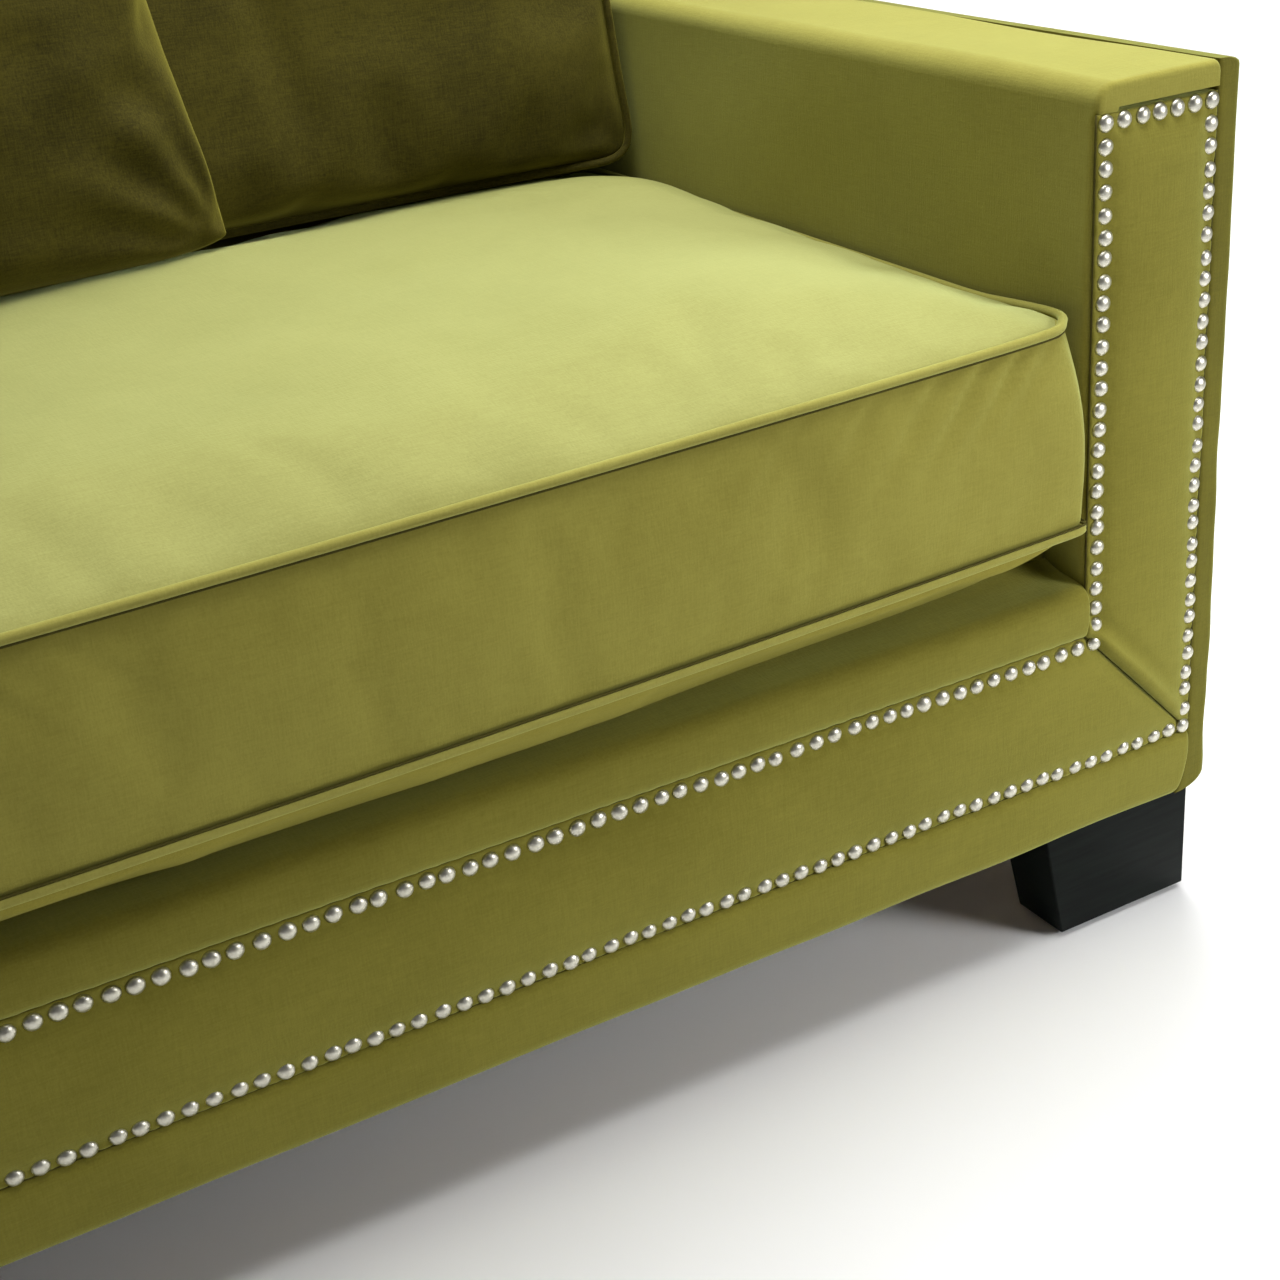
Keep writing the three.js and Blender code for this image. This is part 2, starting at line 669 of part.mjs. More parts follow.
for (let i = 0; i < SPRING_COUNT; i += 1) {
  add(`seat_spring_${i + 1}`, sinuousSpring((i - (SPRING_COUNT - 1) / 2) * SPRING_SPACING), steel);
}

export default sofa;
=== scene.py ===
# A velvet sofa with nailhead trim, seen close at its lower right corner.
# Lengths are in millimetres until a mesh is made. +X runs along the front, which faces -Y.
# Left and right are as seen from the front.
import json
import math

import bmesh
import bpy
import numpy as np
from mathutils import Matrix, Vector


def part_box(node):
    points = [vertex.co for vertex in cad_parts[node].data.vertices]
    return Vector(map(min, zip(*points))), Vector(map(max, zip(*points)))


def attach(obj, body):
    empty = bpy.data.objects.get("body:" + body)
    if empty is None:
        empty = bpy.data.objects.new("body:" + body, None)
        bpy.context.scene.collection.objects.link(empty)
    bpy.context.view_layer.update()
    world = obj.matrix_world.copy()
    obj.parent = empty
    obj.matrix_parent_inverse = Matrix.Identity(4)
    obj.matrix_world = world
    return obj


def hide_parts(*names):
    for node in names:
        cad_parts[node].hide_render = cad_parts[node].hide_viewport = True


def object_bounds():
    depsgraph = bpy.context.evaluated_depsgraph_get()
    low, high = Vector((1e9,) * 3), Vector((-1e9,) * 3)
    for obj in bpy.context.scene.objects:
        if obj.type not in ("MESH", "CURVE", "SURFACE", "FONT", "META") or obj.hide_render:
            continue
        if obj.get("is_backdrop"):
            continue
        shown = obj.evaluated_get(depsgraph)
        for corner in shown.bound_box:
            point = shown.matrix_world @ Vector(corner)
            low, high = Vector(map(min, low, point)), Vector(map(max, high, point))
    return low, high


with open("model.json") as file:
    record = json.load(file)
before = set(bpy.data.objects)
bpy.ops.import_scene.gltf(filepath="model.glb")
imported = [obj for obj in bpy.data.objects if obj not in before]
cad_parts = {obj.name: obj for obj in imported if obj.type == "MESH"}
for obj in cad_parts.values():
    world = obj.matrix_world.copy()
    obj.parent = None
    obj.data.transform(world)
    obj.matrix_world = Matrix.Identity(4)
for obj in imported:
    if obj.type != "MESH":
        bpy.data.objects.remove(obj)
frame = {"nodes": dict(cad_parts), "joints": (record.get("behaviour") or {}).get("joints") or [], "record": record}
cad_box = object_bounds()

MM = 0.001
SIDES = {"left": -1, "right": 1}


def corners(node):
    """Lowest and highest corners of a CAD node, in millimetres."""
    low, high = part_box(node)
    return np.array(low) / MM, np.array(high) / MM


# ---------------- places, from the frame
band_low, band_high = corners("front_band")
arm_band_low, arm_band_high = corners("arm_band_right")
side_low, side_high = corners("side_panel_right")
pad_low, pad_high = corners("arm_pad_right")
deck_high = corners("deck_pad")[1]
back_low = corners("back_pad")[0]
inner_low, inner_high = corners("nail_row_rail_inner")
outer_high = corners("nail_row_rail_outer")[1]
arm_nails_high = corners("nail_row_arm_right")[1]

CAD_GAP = 0.3
FRONT = band_low[1]
ARM_X = arm_band_low[0] - CAD_GAP
EDGE_X = side_low[0]
OUTER_X = side_high[0]
BOTTOM = side_low[2]
BACK_Y = side_high[1]
BACK_TOP = side_high[2]
ARM_TOP = pad_high[2]
BAND_LOW = band_low[2] - CAD_GAP
BAND_HIGH = band_high[2]
BAND_TOP = arm_band_high[2]
DECK = deck_high[2]
STRIP_HALF = (inner_high[2] - inner_low[2]) / 2
NAIL_IN_X = inner_high[0] - STRIP_HALF
NAIL_IN_Z = inner_high[2] - STRIP_HALF
NAIL_OUT_X = outer_high[0] - STRIP_HALF
NAIL_OUT_Z = outer_high[2] - STRIP_HALF
NAIL_TOP_Z = arm_nails_high[2] - STRIP_HALF

lean_axis = next(j for j in frame["joints"] if j["name"] == "back_cushion_right_lift")["axis"]
RAKE = math.atan2(lean_axis[1], lean_axis[2])


def back_face(z):
    """The y of the raked inside face of the back at height z."""
    return back_low[1] + (z - back_low[2]) * math.tan(RAKE)


# ---------------- small mathematics
RIPPLE_WAVES = 9
RIPPLE_PEAK = 1.4


def stack(*parts):
    """Points whose coordinates are the given arrays."""
    return np.stack(parts, -1)


def ripple(points, scale, seed):
    """A smooth random field, mostly from -1 to 1, with features about scale across."""
    rng = np.random.default_rng(seed)
    total = np.zeros(points.shape[:-1])
    for _ in range(RIPPLE_WAVES):
        direction = rng.normal(size=points.shape[-1])
        direction /= np.linalg.norm(direction)
        turns = rng.uniform(0.6, 1.5) / scale
        total += np.sin(2 * math.pi * (points @ direction * turns + rng.uniform()))
    return total / math.sqrt(RIPPLE_WAVES) / RIPPLE_PEAK


def roll(distance, radius, power=2.0):
    """How far a rounded edge falls back at a distance from the edge."""
    t = np.clip(distance / radius, 0, 1)
    return radius * (1 - (1 - (1 - t) ** power) ** (1 / power))


def smoothstep(low, high, value):
    """0 at low, 1 at high and smooth between. Low may be the greater."""
    t = np.clip((value - low) / (high - low), 0, 1)
    return t * t * (3 - 2 * t)


EDGE_STEPS = (0, 0.3, 1.0, 2.2, 4.0, 6.5, 9.5, 13.0)


def spaced(low, high, step):
    """Coordinates from low to high, closer together near both ends."""
    near = np.array([s for s in EDGE_STEPS if s < (high - low) / 3])
    count = max(2, round((high - low - 2 * near[-1]) / step) + 1)
    middle = np.linspace(low + near[-1], high - near[-1], count)
    return np.concatenate([low + near[:-1], middle, high - near[:-1][::-1]])


def wide(values, count):
    """Repeats a column of values into count columns."""
    return np.repeat(values.reshape(-1, 1), count, 1)


CURVE_STEPS = 20


def curve_through(points, count):
    """Points evenly along a smooth curve through the given ones."""
    points = np.array(points, float)
    padded = np.vstack([2 * points[0] - points[1], points, 2 * points[-1] - points[-2]])
    dense = []
    for i in range(len(points) - 1):
        p0, p1, p2, p3 = padded[i : i + 4]
        t = np.linspace(0, 1, CURVE_STEPS, endpoint=False)[:, None]
        square = (2 * p0 - 5 * p1 + 4 * p2 - p3) * t**2
        cube = (3 * p1 - p0 - 3 * p2 + p3) * t**3
        dense.append(0.5 * (2 * p1 + (p2 - p0) * t + square + cube))
    dense = np.vstack([*dense, points[-1:]])
    length = np.concatenate([[0], np.cumsum(np.linalg.norm(np.diff(dense, axis=0), axis=1))])
    wanted = np.linspace(0, length[-1], count)
    return stack(*(np.interp(wanted, length, dense[:, k]) for k in range(dense.shape[1])))


# ---------------- meshes
def linked(name, data):
    """A new object in the scene, with the given data."""
    made = bpy.data.objects.new(name, data)
    bpy.context.scene.collection.objects.link(made)
    return made


def smoothed(mesh):
    mesh.polygons.foreach_set("use_smooth", [True] * len(mesh.polygons))


def mesh_object(name, vertices, faces, material, smooth_angle=None):
    """A smooth-shaded piece whose faces all point outwards."""
    mesh = bpy.data.meshes.new(name)
    mesh.from_pydata((np.asarray(vertices) * MM).tolist(), [], [list(map(int, f)) for f in faces])
    tidy = bmesh.new()
    tidy.from_mesh(mesh)
    bmesh.ops.recalc_face_normals(tidy, faces=tidy.faces)
    tidy.to_mesh(mesh)
    tidy.free()
    smoothed(mesh)
    if smooth_angle:
        mesh.set_sharp_from_angle(angle=math.radians(smooth_angle))
    mesh.materials.append(material)
    return linked(name, mesh)


SHELL_SMOOTH_ANGLE = 55


def shell(name, front, back, material, mask=None):
    """A closed sheet between two grids of points. mask says which cells of the grid are there."""
    rows, columns = front.shape[:2]
    if mask is None:
        mask = np.ones((rows - 1, columns - 1), bool)
    index = np.arange(rows * columns).reshape(rows, columns)
    shift = rows * columns
    a, b, c, d = index[:-1, :-1], index[:-1, 1:], index[1:, 1:], index[1:, :-1]
    faces = [stack(a, b, c, d)[mask], stack(d, c, b, a)[mask] + shift]
    around = np.pad(mask, 1)
    for start, end, beyond in (
        (a, b, around[:-2, 1:-1]),
        (b, c, around[1:-1, 2:]),
        (c, d, around[2:, 1:-1]),
        (d, a, around[1:-1, :-2]),
    ):
        edge = mask & ~beyond
        s, e = start[edge], end[edge]
        faces.append(stack(e, s, s + shift, e + shift))
    faces = np.concatenate(faces)
    used, faces = np.unique(faces, return_inverse=True)
    vertices = np.concatenate([front.reshape(-1, 3), back.reshape(-1, 3)])[used]
    return mesh_object(name, vertices, faces.reshape(-1, 4), material, SHELL_SMOOTH_ANGLE)


WOBBLE_LENGTH = 22


def sheet(name, x, y, back_y, z, material):
    """A closed upright sheet whose back is at back_y."""
    return shell(name, stack(x, y, z), stack(x, np.broadcast_to(back_y, x.shape), z), material)


def tube(name, path, radius, axis, material, sides=10, closed=True, wobble=0.0, seed=0):
    """A round cord along a path, whose frame keeps to the given axis."""
    path = np.array(path, float)
    if closed:
        tangent = np.roll(path, -1, 0) - np.roll(path, 1, 0)
    else:
        tangent = np.gradient(path, axis=0)
    tangent /= np.linalg.norm(tangent, axis=1)[:, None]
    side = np.cross(tangent, axis)
    side /= np.linalg.norm(side, axis=1)[:, None]
    up = np.cross(side, tangent)
    angle = np.linspace(0, 2 * math.pi, sides, endpoint=False)
    size = radius * (1 + wobble * ripple(path, WOBBLE_LENGTH, seed))[:, None, None]
    ring = side[:, None] * np.cos(angle)[None, :, None] + up[:, None] * np.sin(angle)[None, :, None]
    vertices = path[:, None] + size * ring
    n = len(path)
    index = np.arange(n * sides).reshape(n, sides)
    following = np.roll(index, -1, 0) if closed else index[1:]
    current = index if closed else index[:-1]
    around = (current, np.roll(current, -1, 1), np.roll(following, -1, 1), following)
    faces = stack(*around).reshape(-1, 4).tolist()
    if not closed:
        faces += [index[0].tolist(), index[-1][::-1].tolist()]
    return mesh_object(name, vertices.reshape(-1, 3), faces, material)


def place(piece, body, slot, *nodes, fill=None):
    """Rides a piece on a body, and hides the CAD nodes it stands for; its slot and fill are not used."""
    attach(piece, body)
    if nodes:
        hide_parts(*nodes)


def cover(piece, node, fill=0.9, slot="velvet"):
    """Puts a padded piece on the frame in place of a CAD node."""
    place(piece, "frame", slot, node, fill=fill)


# ---------------- materials
class Nodes:
    """Short forms for the shader nodes of one material."""

    def __init__(self, name):
        self.material = bpy.data.materials.new(name)
        self.material.use_nodes = True
        self.tree = self.material.node_tree
        self.shader = self.tree.nodes["Principled BSDF"]
        self.coordinates = self.tree.nodes.new("ShaderNodeTexCoord").outputs["Object"]

    def link(self, source, target):
        self.tree.links.new(source, target)

    def stretched(self, scale):
        mapping = self.tree.nodes.new("ShaderNodeMapping")
        mapping.inputs["Scale"].default_value = scale
        self.link(self.coordinates, mapping.inputs["Vector"])
        return mapping.outputs["Vector"]

    def noise(self, scale=1.0, stretch=None, detail=3.0, roughness=0.55, distortion=0.0):
        node = self.tree.nodes.new("ShaderNodeTexNoise")
        node.inputs["Scale"].default_value = scale
        node.inputs["Detail"].default_value = detail
        node.inputs["Roughness"].default_value = roughness
        node.inputs["Distortion"].default_value = distortion
        self.link(self.stretched(stretch) if stretch else self.coordinates, node.inputs["Vector"])
        return node.outputs["Fac"]

    def maths(self, operation, first, second):
        node = self.tree.nodes.new("ShaderNodeMath")
        node.operation = operation
        for socket, value in zip(node.inputs, (first, second)):
            if isinstance(value, (int, float)):
                socket.default_value = value
            else:
                self.link(value, socket)
        return node.outputs[0]

    def ramp(self, value, stops):
        node = self.tree.nodes.new("ShaderNodeValToRGB")
        elements = node.color_ramp.elements
        while len(elements) < len(stops):
            elements.new(0.5)
        for element, (position, colour) in zip(elements, stops):
            element.position = position
            element.color = (*colour, 1)
        self.link(value, node.inputs["Fac"])
        return node.outputs["Color"]

    def weighted(self, *terms):
        """The sum of some values, each with its weight."""
        parts = [self.maths("MULTIPLY", value, weight) for value, weight in terms]
        total = parts[0]
        for part in parts[1:]:
            total = self.maths("ADD", total, part)
        return total

    def colour(self, value, *stops):
        """The base colour, along a ramp of the value."""
        self.link(self.ramp(value, stops), self.shader.inputs["Base Color"])

    def uniform(self, **values):
        """Plain values for the shader's own sockets, whose names are spelt with underscores."""
        for name, value in values.items():
            self.shader.inputs[name.replace("_", " ")].default_value = value

    def bump(self, height, strength, distance, under=None):
        node = self.tree.nodes.new("ShaderNodeBump")
        node.inputs["Strength"].default_value = strength
        node.inputs["Distance"].default_value = distance
        self.link(height, node.inputs["Height"])
        if under is not None:
            self.link(under, node.inputs["Normal"])
        self.link(node.outputs["Normal"], self.shader.inputs["Normal"])
        return node.outputs["Normal"]


THREAD_DETAIL = 2.0


def threads(nodes, fine, coarse):
    """Noise drawn out along each axis in turn, as the threads of a weave are."""
    lines = [
        nodes.noise(1.0, stretch, THREAD_DETAIL)
        for stretch in ((coarse, fine, fine), (fine, coarse, fine), (fine, fine, coarse))
    ]
    return nodes.maths("ADD", nodes.maths("ADD", lines[0], lines[1]), lines[2])


def velvet(name, light, dark, sheen_tint, sheen):
    """Short-pile velvet: brushed patches of nap, a faint cross weave, sheen at grazing angles."""
    nodes = Nodes(name)
    patches = nodes.noise(7.0, None, 3.0, 0.5, 0.6)
    brushed = nodes.noise(1.0, (38, 38, 90), 3.0, 0.6, 0.4)
    weave = threads(nodes, 760, 70)
    tone = nodes.weighted((patches, 0.5), (brushed, 0.2), (weave, 0.34))
    nodes.colour(tone, (0.68, dark), (1.0, light))
    nodes.uniform(Roughness=0.88, Specular_IOR_Level=0.15)
    nodes.uniform(Sheen_Weight=sheen, Sheen_Roughness=0.5, Sheen_Tint=(*sheen_tint, 1))
    cloth = nodes.bump(weave, 0.35, 0.0003)
    pile = nodes.noise(2600, None, 2.0, 0.7)
    nodes.bump(pile, 0.15, 0.0002, cloth)
    return nodes.material


def satin_nickel():
    nodes = Nodes("satin_nickel")
    wear = nodes.noise(420, None, 4.0)
    nodes.colour(wear, (0.3, (0.55, 0.53, 0.43)), (0.7, (0.74, 0.72, 0.62)))
    nodes.uniform(Metallic=1.0)
    roughness = nodes.maths("ADD", nodes.maths("MULTIPLY", wear, 0.2), 0.28)
    nodes.link(roughness, nodes.shader.inputs["Roughness"])
    nodes.bump(nodes.noise(900, None, 3.0), 0.12, 0.0002)
    return nodes.material


def black_lacquer():
    nodes = Nodes("black_lacquer")
    grain = nodes.noise(1.0, (18, 18, 220), 4.0, 0.6)
    nodes.colour(grain, (0.35, (0.002, 0.003, 0.0025)), (0.65, (0.005, 0.008, 0.006)))
    nodes.uniform(Roughness=0.4, Specular_IOR_Level=0.06, Coat_Weight=0.03, Coat_Roughness=0.12)
    nodes.bump(grain, 0.08, 0.0004)
    return nodes.material


def sawn_timber():
    nodes = Nodes("sawn_timber")
    grain = nodes.noise(1.0, (6, 60, 60), 5.0, 0.6, 1.2)
    pores = nodes.noise(1.0, (40, 700, 700), 2.0)
    tone = nodes.weighted((grain, 0.8), (pores, 0.2))
    nodes.colour(tone, (0.35, (0.36, 0.20, 0.09)), (0.65, (0.66, 0.45, 0.25)))
    nodes.uniform(Roughness=0.7)
    nodes.bump(pores, 0.3, 0.0005)
    return nodes.material


def plain_steel():
    nodes = Nodes("plain_steel")
    drawn = nodes.noise(1.0, (300, 30, 300), 3.0)
    nodes.colour(drawn, (0.3, (0.30, 0.30, 0.31)), (0.7, (0.55, 0.55, 0.56)))
    nodes.uniform(Metallic=1.0, Roughness=0.42)
    nodes.bump(drawn, 0.1, 0.0002)
    return nodes.material


def moulded_nylon():
    nodes = Nodes("moulded_nylon")
    grain = nodes.noise(900, None, 3.0)
    nodes.colour(grain, (0.3, (0.015, 0.015, 0.015)), (0.7, (0.04, 0.04, 0.04)))
    nodes.uniform(Roughness=0.5)
    nodes.bump(grain, 0.15, 0.0002)
    return nodes.material


def woven(name, dark, light, fine, coarse):
    """A plain woven cloth, such as deck canvas or dust cover."""
    nodes = Nodes(name)
    weave = threads(nodes, fine, coarse)
    nodes.colour(nodes.maths("MULTIPLY", weave, 0.6), (0.7, dark), (1.0, light))
    nodes.uniform(Roughness=0.95)
    nodes.bump(weave, 0.5, 0.0006)
    return nodes.material


def pale_floor():
    nodes = Nodes("pale_floor")
    nodes.colour(nodes.noise(3.0), (0.3, (0.92, 0.92, 0.92)), (0.7, (0.94, 0.94, 0.94)))
    nodes.uniform(Roughness=0.9, Specular_IOR_Level=0.1)
    return nodes.material


# These are copies of one velvet, whose base colours and sheen were set to how the light falls on each part:
# painted light and shade. The seat top, piping, boxing and arm pads are lightened to paint the light on them. The
# side and back panels are darkened to paint shade. The pillows and back cushions are much darker, painting the
# shade they sit in. The shade cord velvet paints the shadow in the creases along seams. Each has its light and
# dark base colours, its sheen tint and its sheen.
VELVET = velvet("velvet", (0.218, 0.192, 0.026), (0.170, 0.147, 0.016), (0.85, 1.0, 0.36), 0.45)
LIT_BOXING_VELVET = velvet("velvet_boxing", (0.300, 0.268, 0.047), (0.245, 0.215, 0.033), (0.85, 1.0, 0.40), 0.45)
LIT_PIPING_VELVET = velvet("velvet_piping", (0.325, 0.298, 0.066), (0.270, 0.243, 0.048), (0.85, 1.0, 0.40), 0.45)
LIT_SEAT_VELVET = velvet("velvet_seat", (0.318, 0.312, 0.094), (0.262, 0.254, 0.069), (0.85, 1.0, 0.46), 0.7)
SHADED_SIDE_VELVET = velvet("velvet_side", (0.135, 0.114, 0.011), (0.100, 0.083, 0.008), (0.85, 1.0, 0.30), 0.45)
SHADED_PILLOW_VELVET = velvet("velvet_pillow", (0.066, 0.055, 0.006), (0.026, 0.021, 0.002), (0.42, 0.38, 0.06), 0.6)
VELVET_UNDER = velvet("velvet_under", (0.285, 0.250, 0.040), (0.235, 0.203, 0.029), (0.85, 0.95, 0.30), 0.08)
SHADE_CORD = velvet("seam_thread", (0.080, 0.070, 0.012), (0.055, 0.047, 0.008), (0.30, 0.30, 0.08), 0.1)
NICKEL = satin_nickel()
LACQUER = black_lacquer()
TIMBER = sawn_timber()
STEEL = plain_steel()
NYLON = moulded_nylon()
CANVAS = woven("deck_canvas", (0.17, 0.15, 0.04), (0.30, 0.27, 0.09), 700, 90)
DUST_CLOTH = woven("dust_cloth", (0.006, 0.006, 0.006), (0.025, 0.025, 0.025), 500, 120)

CAD_LOOKS = {"timber": TIMBER, "steel": STEEL, "nylon": NYLON, "dust_cloth": DUST_CLOTH}
cad_slots = {part["node"]: part["material_slot"] for part in frame["record"]["subparts"]}
for node in frame["nodes"].values():
    look = CAD_LOOKS.get(cad_slots[node.name])
    if look:
        for material_slot in node.material_slots:
            material_slot.material = look

# ---------------- nailheads
NAIL_SPACING = 15.0
NAIL_RADIUS = 5.9
NAIL_HEIGHT = 3.9
NAIL_RIM = 0.5
NAIL_SINK = 0.9
NAIL_SIDES = 16
ALONG_ERROR = 0.75
ACROSS_ERROR = 0.35
ROW_DRIFT = 0.8
ROW_DRIFT_LENGTH = 260
DIMPLE_DEPTH = 2.6
DIMPLE_REACH = 7.2
DIMPLE_BATCH = 4000


def nail_line(start, end, rng, skip_first=False, skip_last=False):
    """Hand-set nails from start to end, each a little off its place."""
    start, end = np.array(start, float), np.array(end, float)
    length = np.linalg.norm(end - start)
    count = round(length / NAIL_SPACING)
    along = np.arange(count + 1) * length / count
    along[1:-1] += rng.normal(0, ALONG_ERROR, count - 1)
    direction = (end - start) / length
    across = np.array([-direction[1], direction[0]])
    drift = ROW_DRIFT * ripple(along[:, None], ROW_DRIFT_LENGTH, int(rng.integers(1000)))
    off = drift + rng.normal(0, ACROSS_ERROR, count + 1)
    line = start + along[:, None] * direction + off[:, None] * across
    return line[int(skip_first) : len(line) - int(skip_last)]


def nail_rows():
    """Where each nail of each row is, as x and z."""
    rng = np.random.default_rng(15)
    rows = {
        "nail_row_rail_inner": nail_line((-NAIL_IN_X, NAIL_IN_Z), (NAIL_IN_X, NAIL_IN_Z), rng),
        "nail_row_rail_outer": nail_line((-NAIL_OUT_X, NAIL_OUT_Z), (NAIL_OUT_X, NAIL_OUT_Z), rng),
    }
    for where, side in SIDES.items():
        inner, outer = side * NAIL_IN_X, side * NAIL_OUT_X
        rows[f"nail_row_arm_{where}"] = np.vstack([
            nail_line((inner, NAIL_IN_Z), (inner, NAIL_TOP_Z), rng, skip_first=True),
            nail_line((inner, NAIL_TOP_Z), (outer, NAIL_TOP_Z), rng, skip_first=True),
            nail_line((outer, NAIL_TOP_Z), (outer, NAIL_OUT_Z), rng, skip_first=True, skip_last=True),
        ])
    return rows


NAILS = nail_rows()
ALL_NAILS = np.vstack(list(NAILS.values()))


def dimple(x, z):
    """How deep each nail pulls the cloth in around it."""
    depth = np.zeros(x.size)
    flat = stack(x.ravel(), z.ravel())
    for start in range(0, len(flat), DIMPLE_BATCH):
        batch = slice(start, start + DIMPLE_BATCH)
        apart = ((flat[batch, None] - ALL_NAILS[None]) ** 2).sum(-1)
        depth[batch] = np.exp(-apart.min(1) / DIMPLE_REACH**2)
    return DIMPLE_DEPTH * depth.reshape(x.shape)


def nailheads(name, centres, seed):
    """One mesh of domed heads, each slightly tilted and of its own size."""
    rng = np.random.default_rng(seed)
    sides = NAIL_SIDES
    angle = np.linspace(0, 2 * math.pi, sides, endpoint=False)
    slopes = np.radians([90, 74, 58, 42, 26, 11])
    base = FRONT + NAIL_SINK
    vertices, faces = [], []
    for x, z in centres:
        radius = NAIL_RADIUS * rng.uniform(0.97, 1.03)
        tilt_x, tilt_z = rng.normal(0, 0.045, 2)
        rings = [(radius * 0.93, 0.0)]
        rings += [(radius * math.sin(s), NAIL_RIM + NAIL_HEIGHT * math.cos(s)) for s in slopes]
        start = len(vertices)
        for ring_radius, height in rings:
            for a in angle:
                dx, dz = ring_radius * math.cos(a), ring_radius * math.sin(a)
                vertices.append((x + dx, base - height + tilt_x * dx + tilt_z * dz, z + dz))
        vertices.append((x, base - NAIL_RIM - NAIL_HEIGHT, z))
        top = len(vertices) - 1
        for r in range(len(rings) - 1):
            low, high = start + r * sides, start + (r + 1) * sides
            for i in range(sides):
                j = (i + 1) % sides
                faces.append((low + i, low + j, high + j, high + i))
        last = start + (len(rings) - 1) * sides
        faces += [(last + i, last + (i + 1) % sides, top) for i in range(sides)]
        faces.append(tuple(start + i for i in reversed(range(sides))))
    return mesh_object(name, vertices, faces, NICKEL)


for number, (row, centres) in enumerate(NAILS.items()):
    place(nailheads(f"{row}_heads", centres, number), "frame", "nickel_nails", row)

# ---------------- the mitred band and its borders
BAND_PUFF = 5.5
COVER = 1.2
BAND_FLOOR_Y = FRONT + 12


def mitre_z(x):
    """Height of the mitre seam, from the band's inner corner to its outer corner."""
    return BAND_HIGH - (np.abs(x) - ARM_X) / (EDGE_X - ARM_X) * (BAND_HIGH - BAND_LOW)


def mitre_distance(x, z):
    """Distance from a point of the band to the mitre seam."""
    slope = (BAND_HIGH - BAND_LOW) / (EDGE_X - ARM_X)
    return np.abs(z - mitre_z(x)) / math.hypot(1, slope)


def puff(across):
    """Padding between the nail rows, where across runs from 0 to 1."""
    return BAND_PUFF * np.sin(math.pi * np.clip(across, 0, 1)) ** 0.7


def front_band():
    """The padded band below the seat, between the two mitre seams."""
    z = spaced(BAND_LOW + 0.2, BAND_HIGH - 0.2, 3.2)
    t = spaced(-EDGE_X, EDGE_X, 3.4) / EDGE_X
    half = EDGE_X - (z - BAND_LOW) / (BAND_HIGH - BAND_LOW) * (EDGE_X - ARM_X)
    x = half[:, None] * t[None]
    z = wide(z, len(t))
    seam = mitre_distance(x, z)
    edge = np.minimum(z - BAND_LOW, BAND_HIGH - z)
    flat = stack(x, z)
    between_rows = (z - NAIL_OUT_Z) / (NAIL_IN_Z - NAIL_OUT_Z)
    y = FRONT - COVER - puff(between_rows) * smoothstep(0, 22, seam + 6)
    y += roll(edge, 2.6) + roll(seam, 5.0) + dimple(x, z)
    y += 0.5 * ripple(flat, 150, 3) + 0.25 * ripple(flat, 32, 4) * np.exp(-edge / 14)
    return sheet("front_band_velvet", x, y, BAND_FLOOR_Y, z, VELVET)


def arm_band(where, side):
    """The upright half of the mitred band, with the folds that gather beside its seam."""
    length = BAND_TOP - BAND_LOW
    x = spaced(ARM_X, EDGE_X - 0.2, 3.0)
    v = np.concatenate([spaced(0, 40, 2.4)[:-7], np.linspace(30, length, 150)])
    v = np.unique(np.clip(v, 0, length)) / length
    tail = 1 - np.array([0.3, 1.0, 2.2, 4.0]) / length
    v = np.unique(np.concatenate([v, tail]))
    x = np.tile(x, (len(v), 1))
    low = mitre_z(x) + 0.4
    z = low + v[:, None] * (BAND_TOP - 0.2 - low)
    seam = mitre_distance(x, z)
    down = np.clip((x - ARM_X) / (EDGE_X - ARM_X), 0, 1)
    edge = np.minimum.reduce([x - ARM_X, EDGE_X - x, BAND_TOP - z])
    flat = stack(x * side, z)
    between_rows = (x - NAIL_IN_X) / (NAIL_OUT_X - NAIL_IN_X)
    y = FRONT - COVER - puff(between_rows) * smoothstep(-2, 34, NAIL_TOP_Z - z)
    y += roll(np.clip(edge, 0, None), 2.6) + roll(seam, 4.0) + dimple(side * x, z)
    ridge = 3.4 * np.exp(-(((seam - 6.5) / 4.0) ** 2))
    hollow = 1.6 * np.exp(-(((seam - 17) / 5.5) ** 2))
    y -= (ridge - hollow) * np.clip(1.1 - down, 0, 1) ** 0.8
    y += 0.6 * ripple(flat, 120, 13 + side) + 0.25 * ripple(flat, 30, 23 + side) * np.exp(-edge / 14)
    back_y = np.where(x < ARM_X + 19, FRONT + 2.6, BAND_FLOOR_Y)
    return sheet(f"arm_band_velvet_{where}", side * x, y, back_y, z, VELVET)


def upper_border():
    """The roll above the inner nails, which carries on under the seat cushions."""
    above_nails = [
        (3.5, -1.0), (-1.0, 0.6), (-4.0, 6), (-5.2, 16), (-5.0, 27),
        (-2.6, 34.5), (3.5, 39), (13.0, 40.5), (28.0, 42.5),
    ]
    profile = curve_through([(y, BAND_HIGH + z) for y, z in above_nails] + [(44.0, DECK - 5)], 46)
    inner = curve_through([
        (14, BAND_HIGH + 1), (14, BAND_HIGH + 12), (14, BAND_HIGH + 24),
        (16, DECK - 24), (26, DECK - 21), (44, DECK - 18),
    ], 46)
    end = ARM_X - 0.4
    x = spaced(-end, end, 3.6)
    grid_x = np.tile(x, (len(profile), 1))
    y, z = wide(profile[:, 0], len(x)), wide(profile[:, 1], len(x))
    flat = stack(grid_x, y * 2 + z)
    near_nails = np.exp(-(z - BAND_HIGH) / 9)
    y = y + 0.9 * ripple(flat, 170, 5) * (1 - near_nails) + 0.9 * dimple(grid_x, z - 2)
    y = y + roll(end - np.abs(grid_x), 1.6)
    z = z + 0.6 * ripple(flat, 140, 6) * smoothstep(BAND_HIGH + 10, DECK - 5, z)
    back = stack(grid_x, wide(FRONT + inner[:, 0], len(x)), wide(inner[:, 1], len(x)))
    return shell("front_upper_border_velvet", stack(grid_x, FRONT + y, z), back, VELVET)


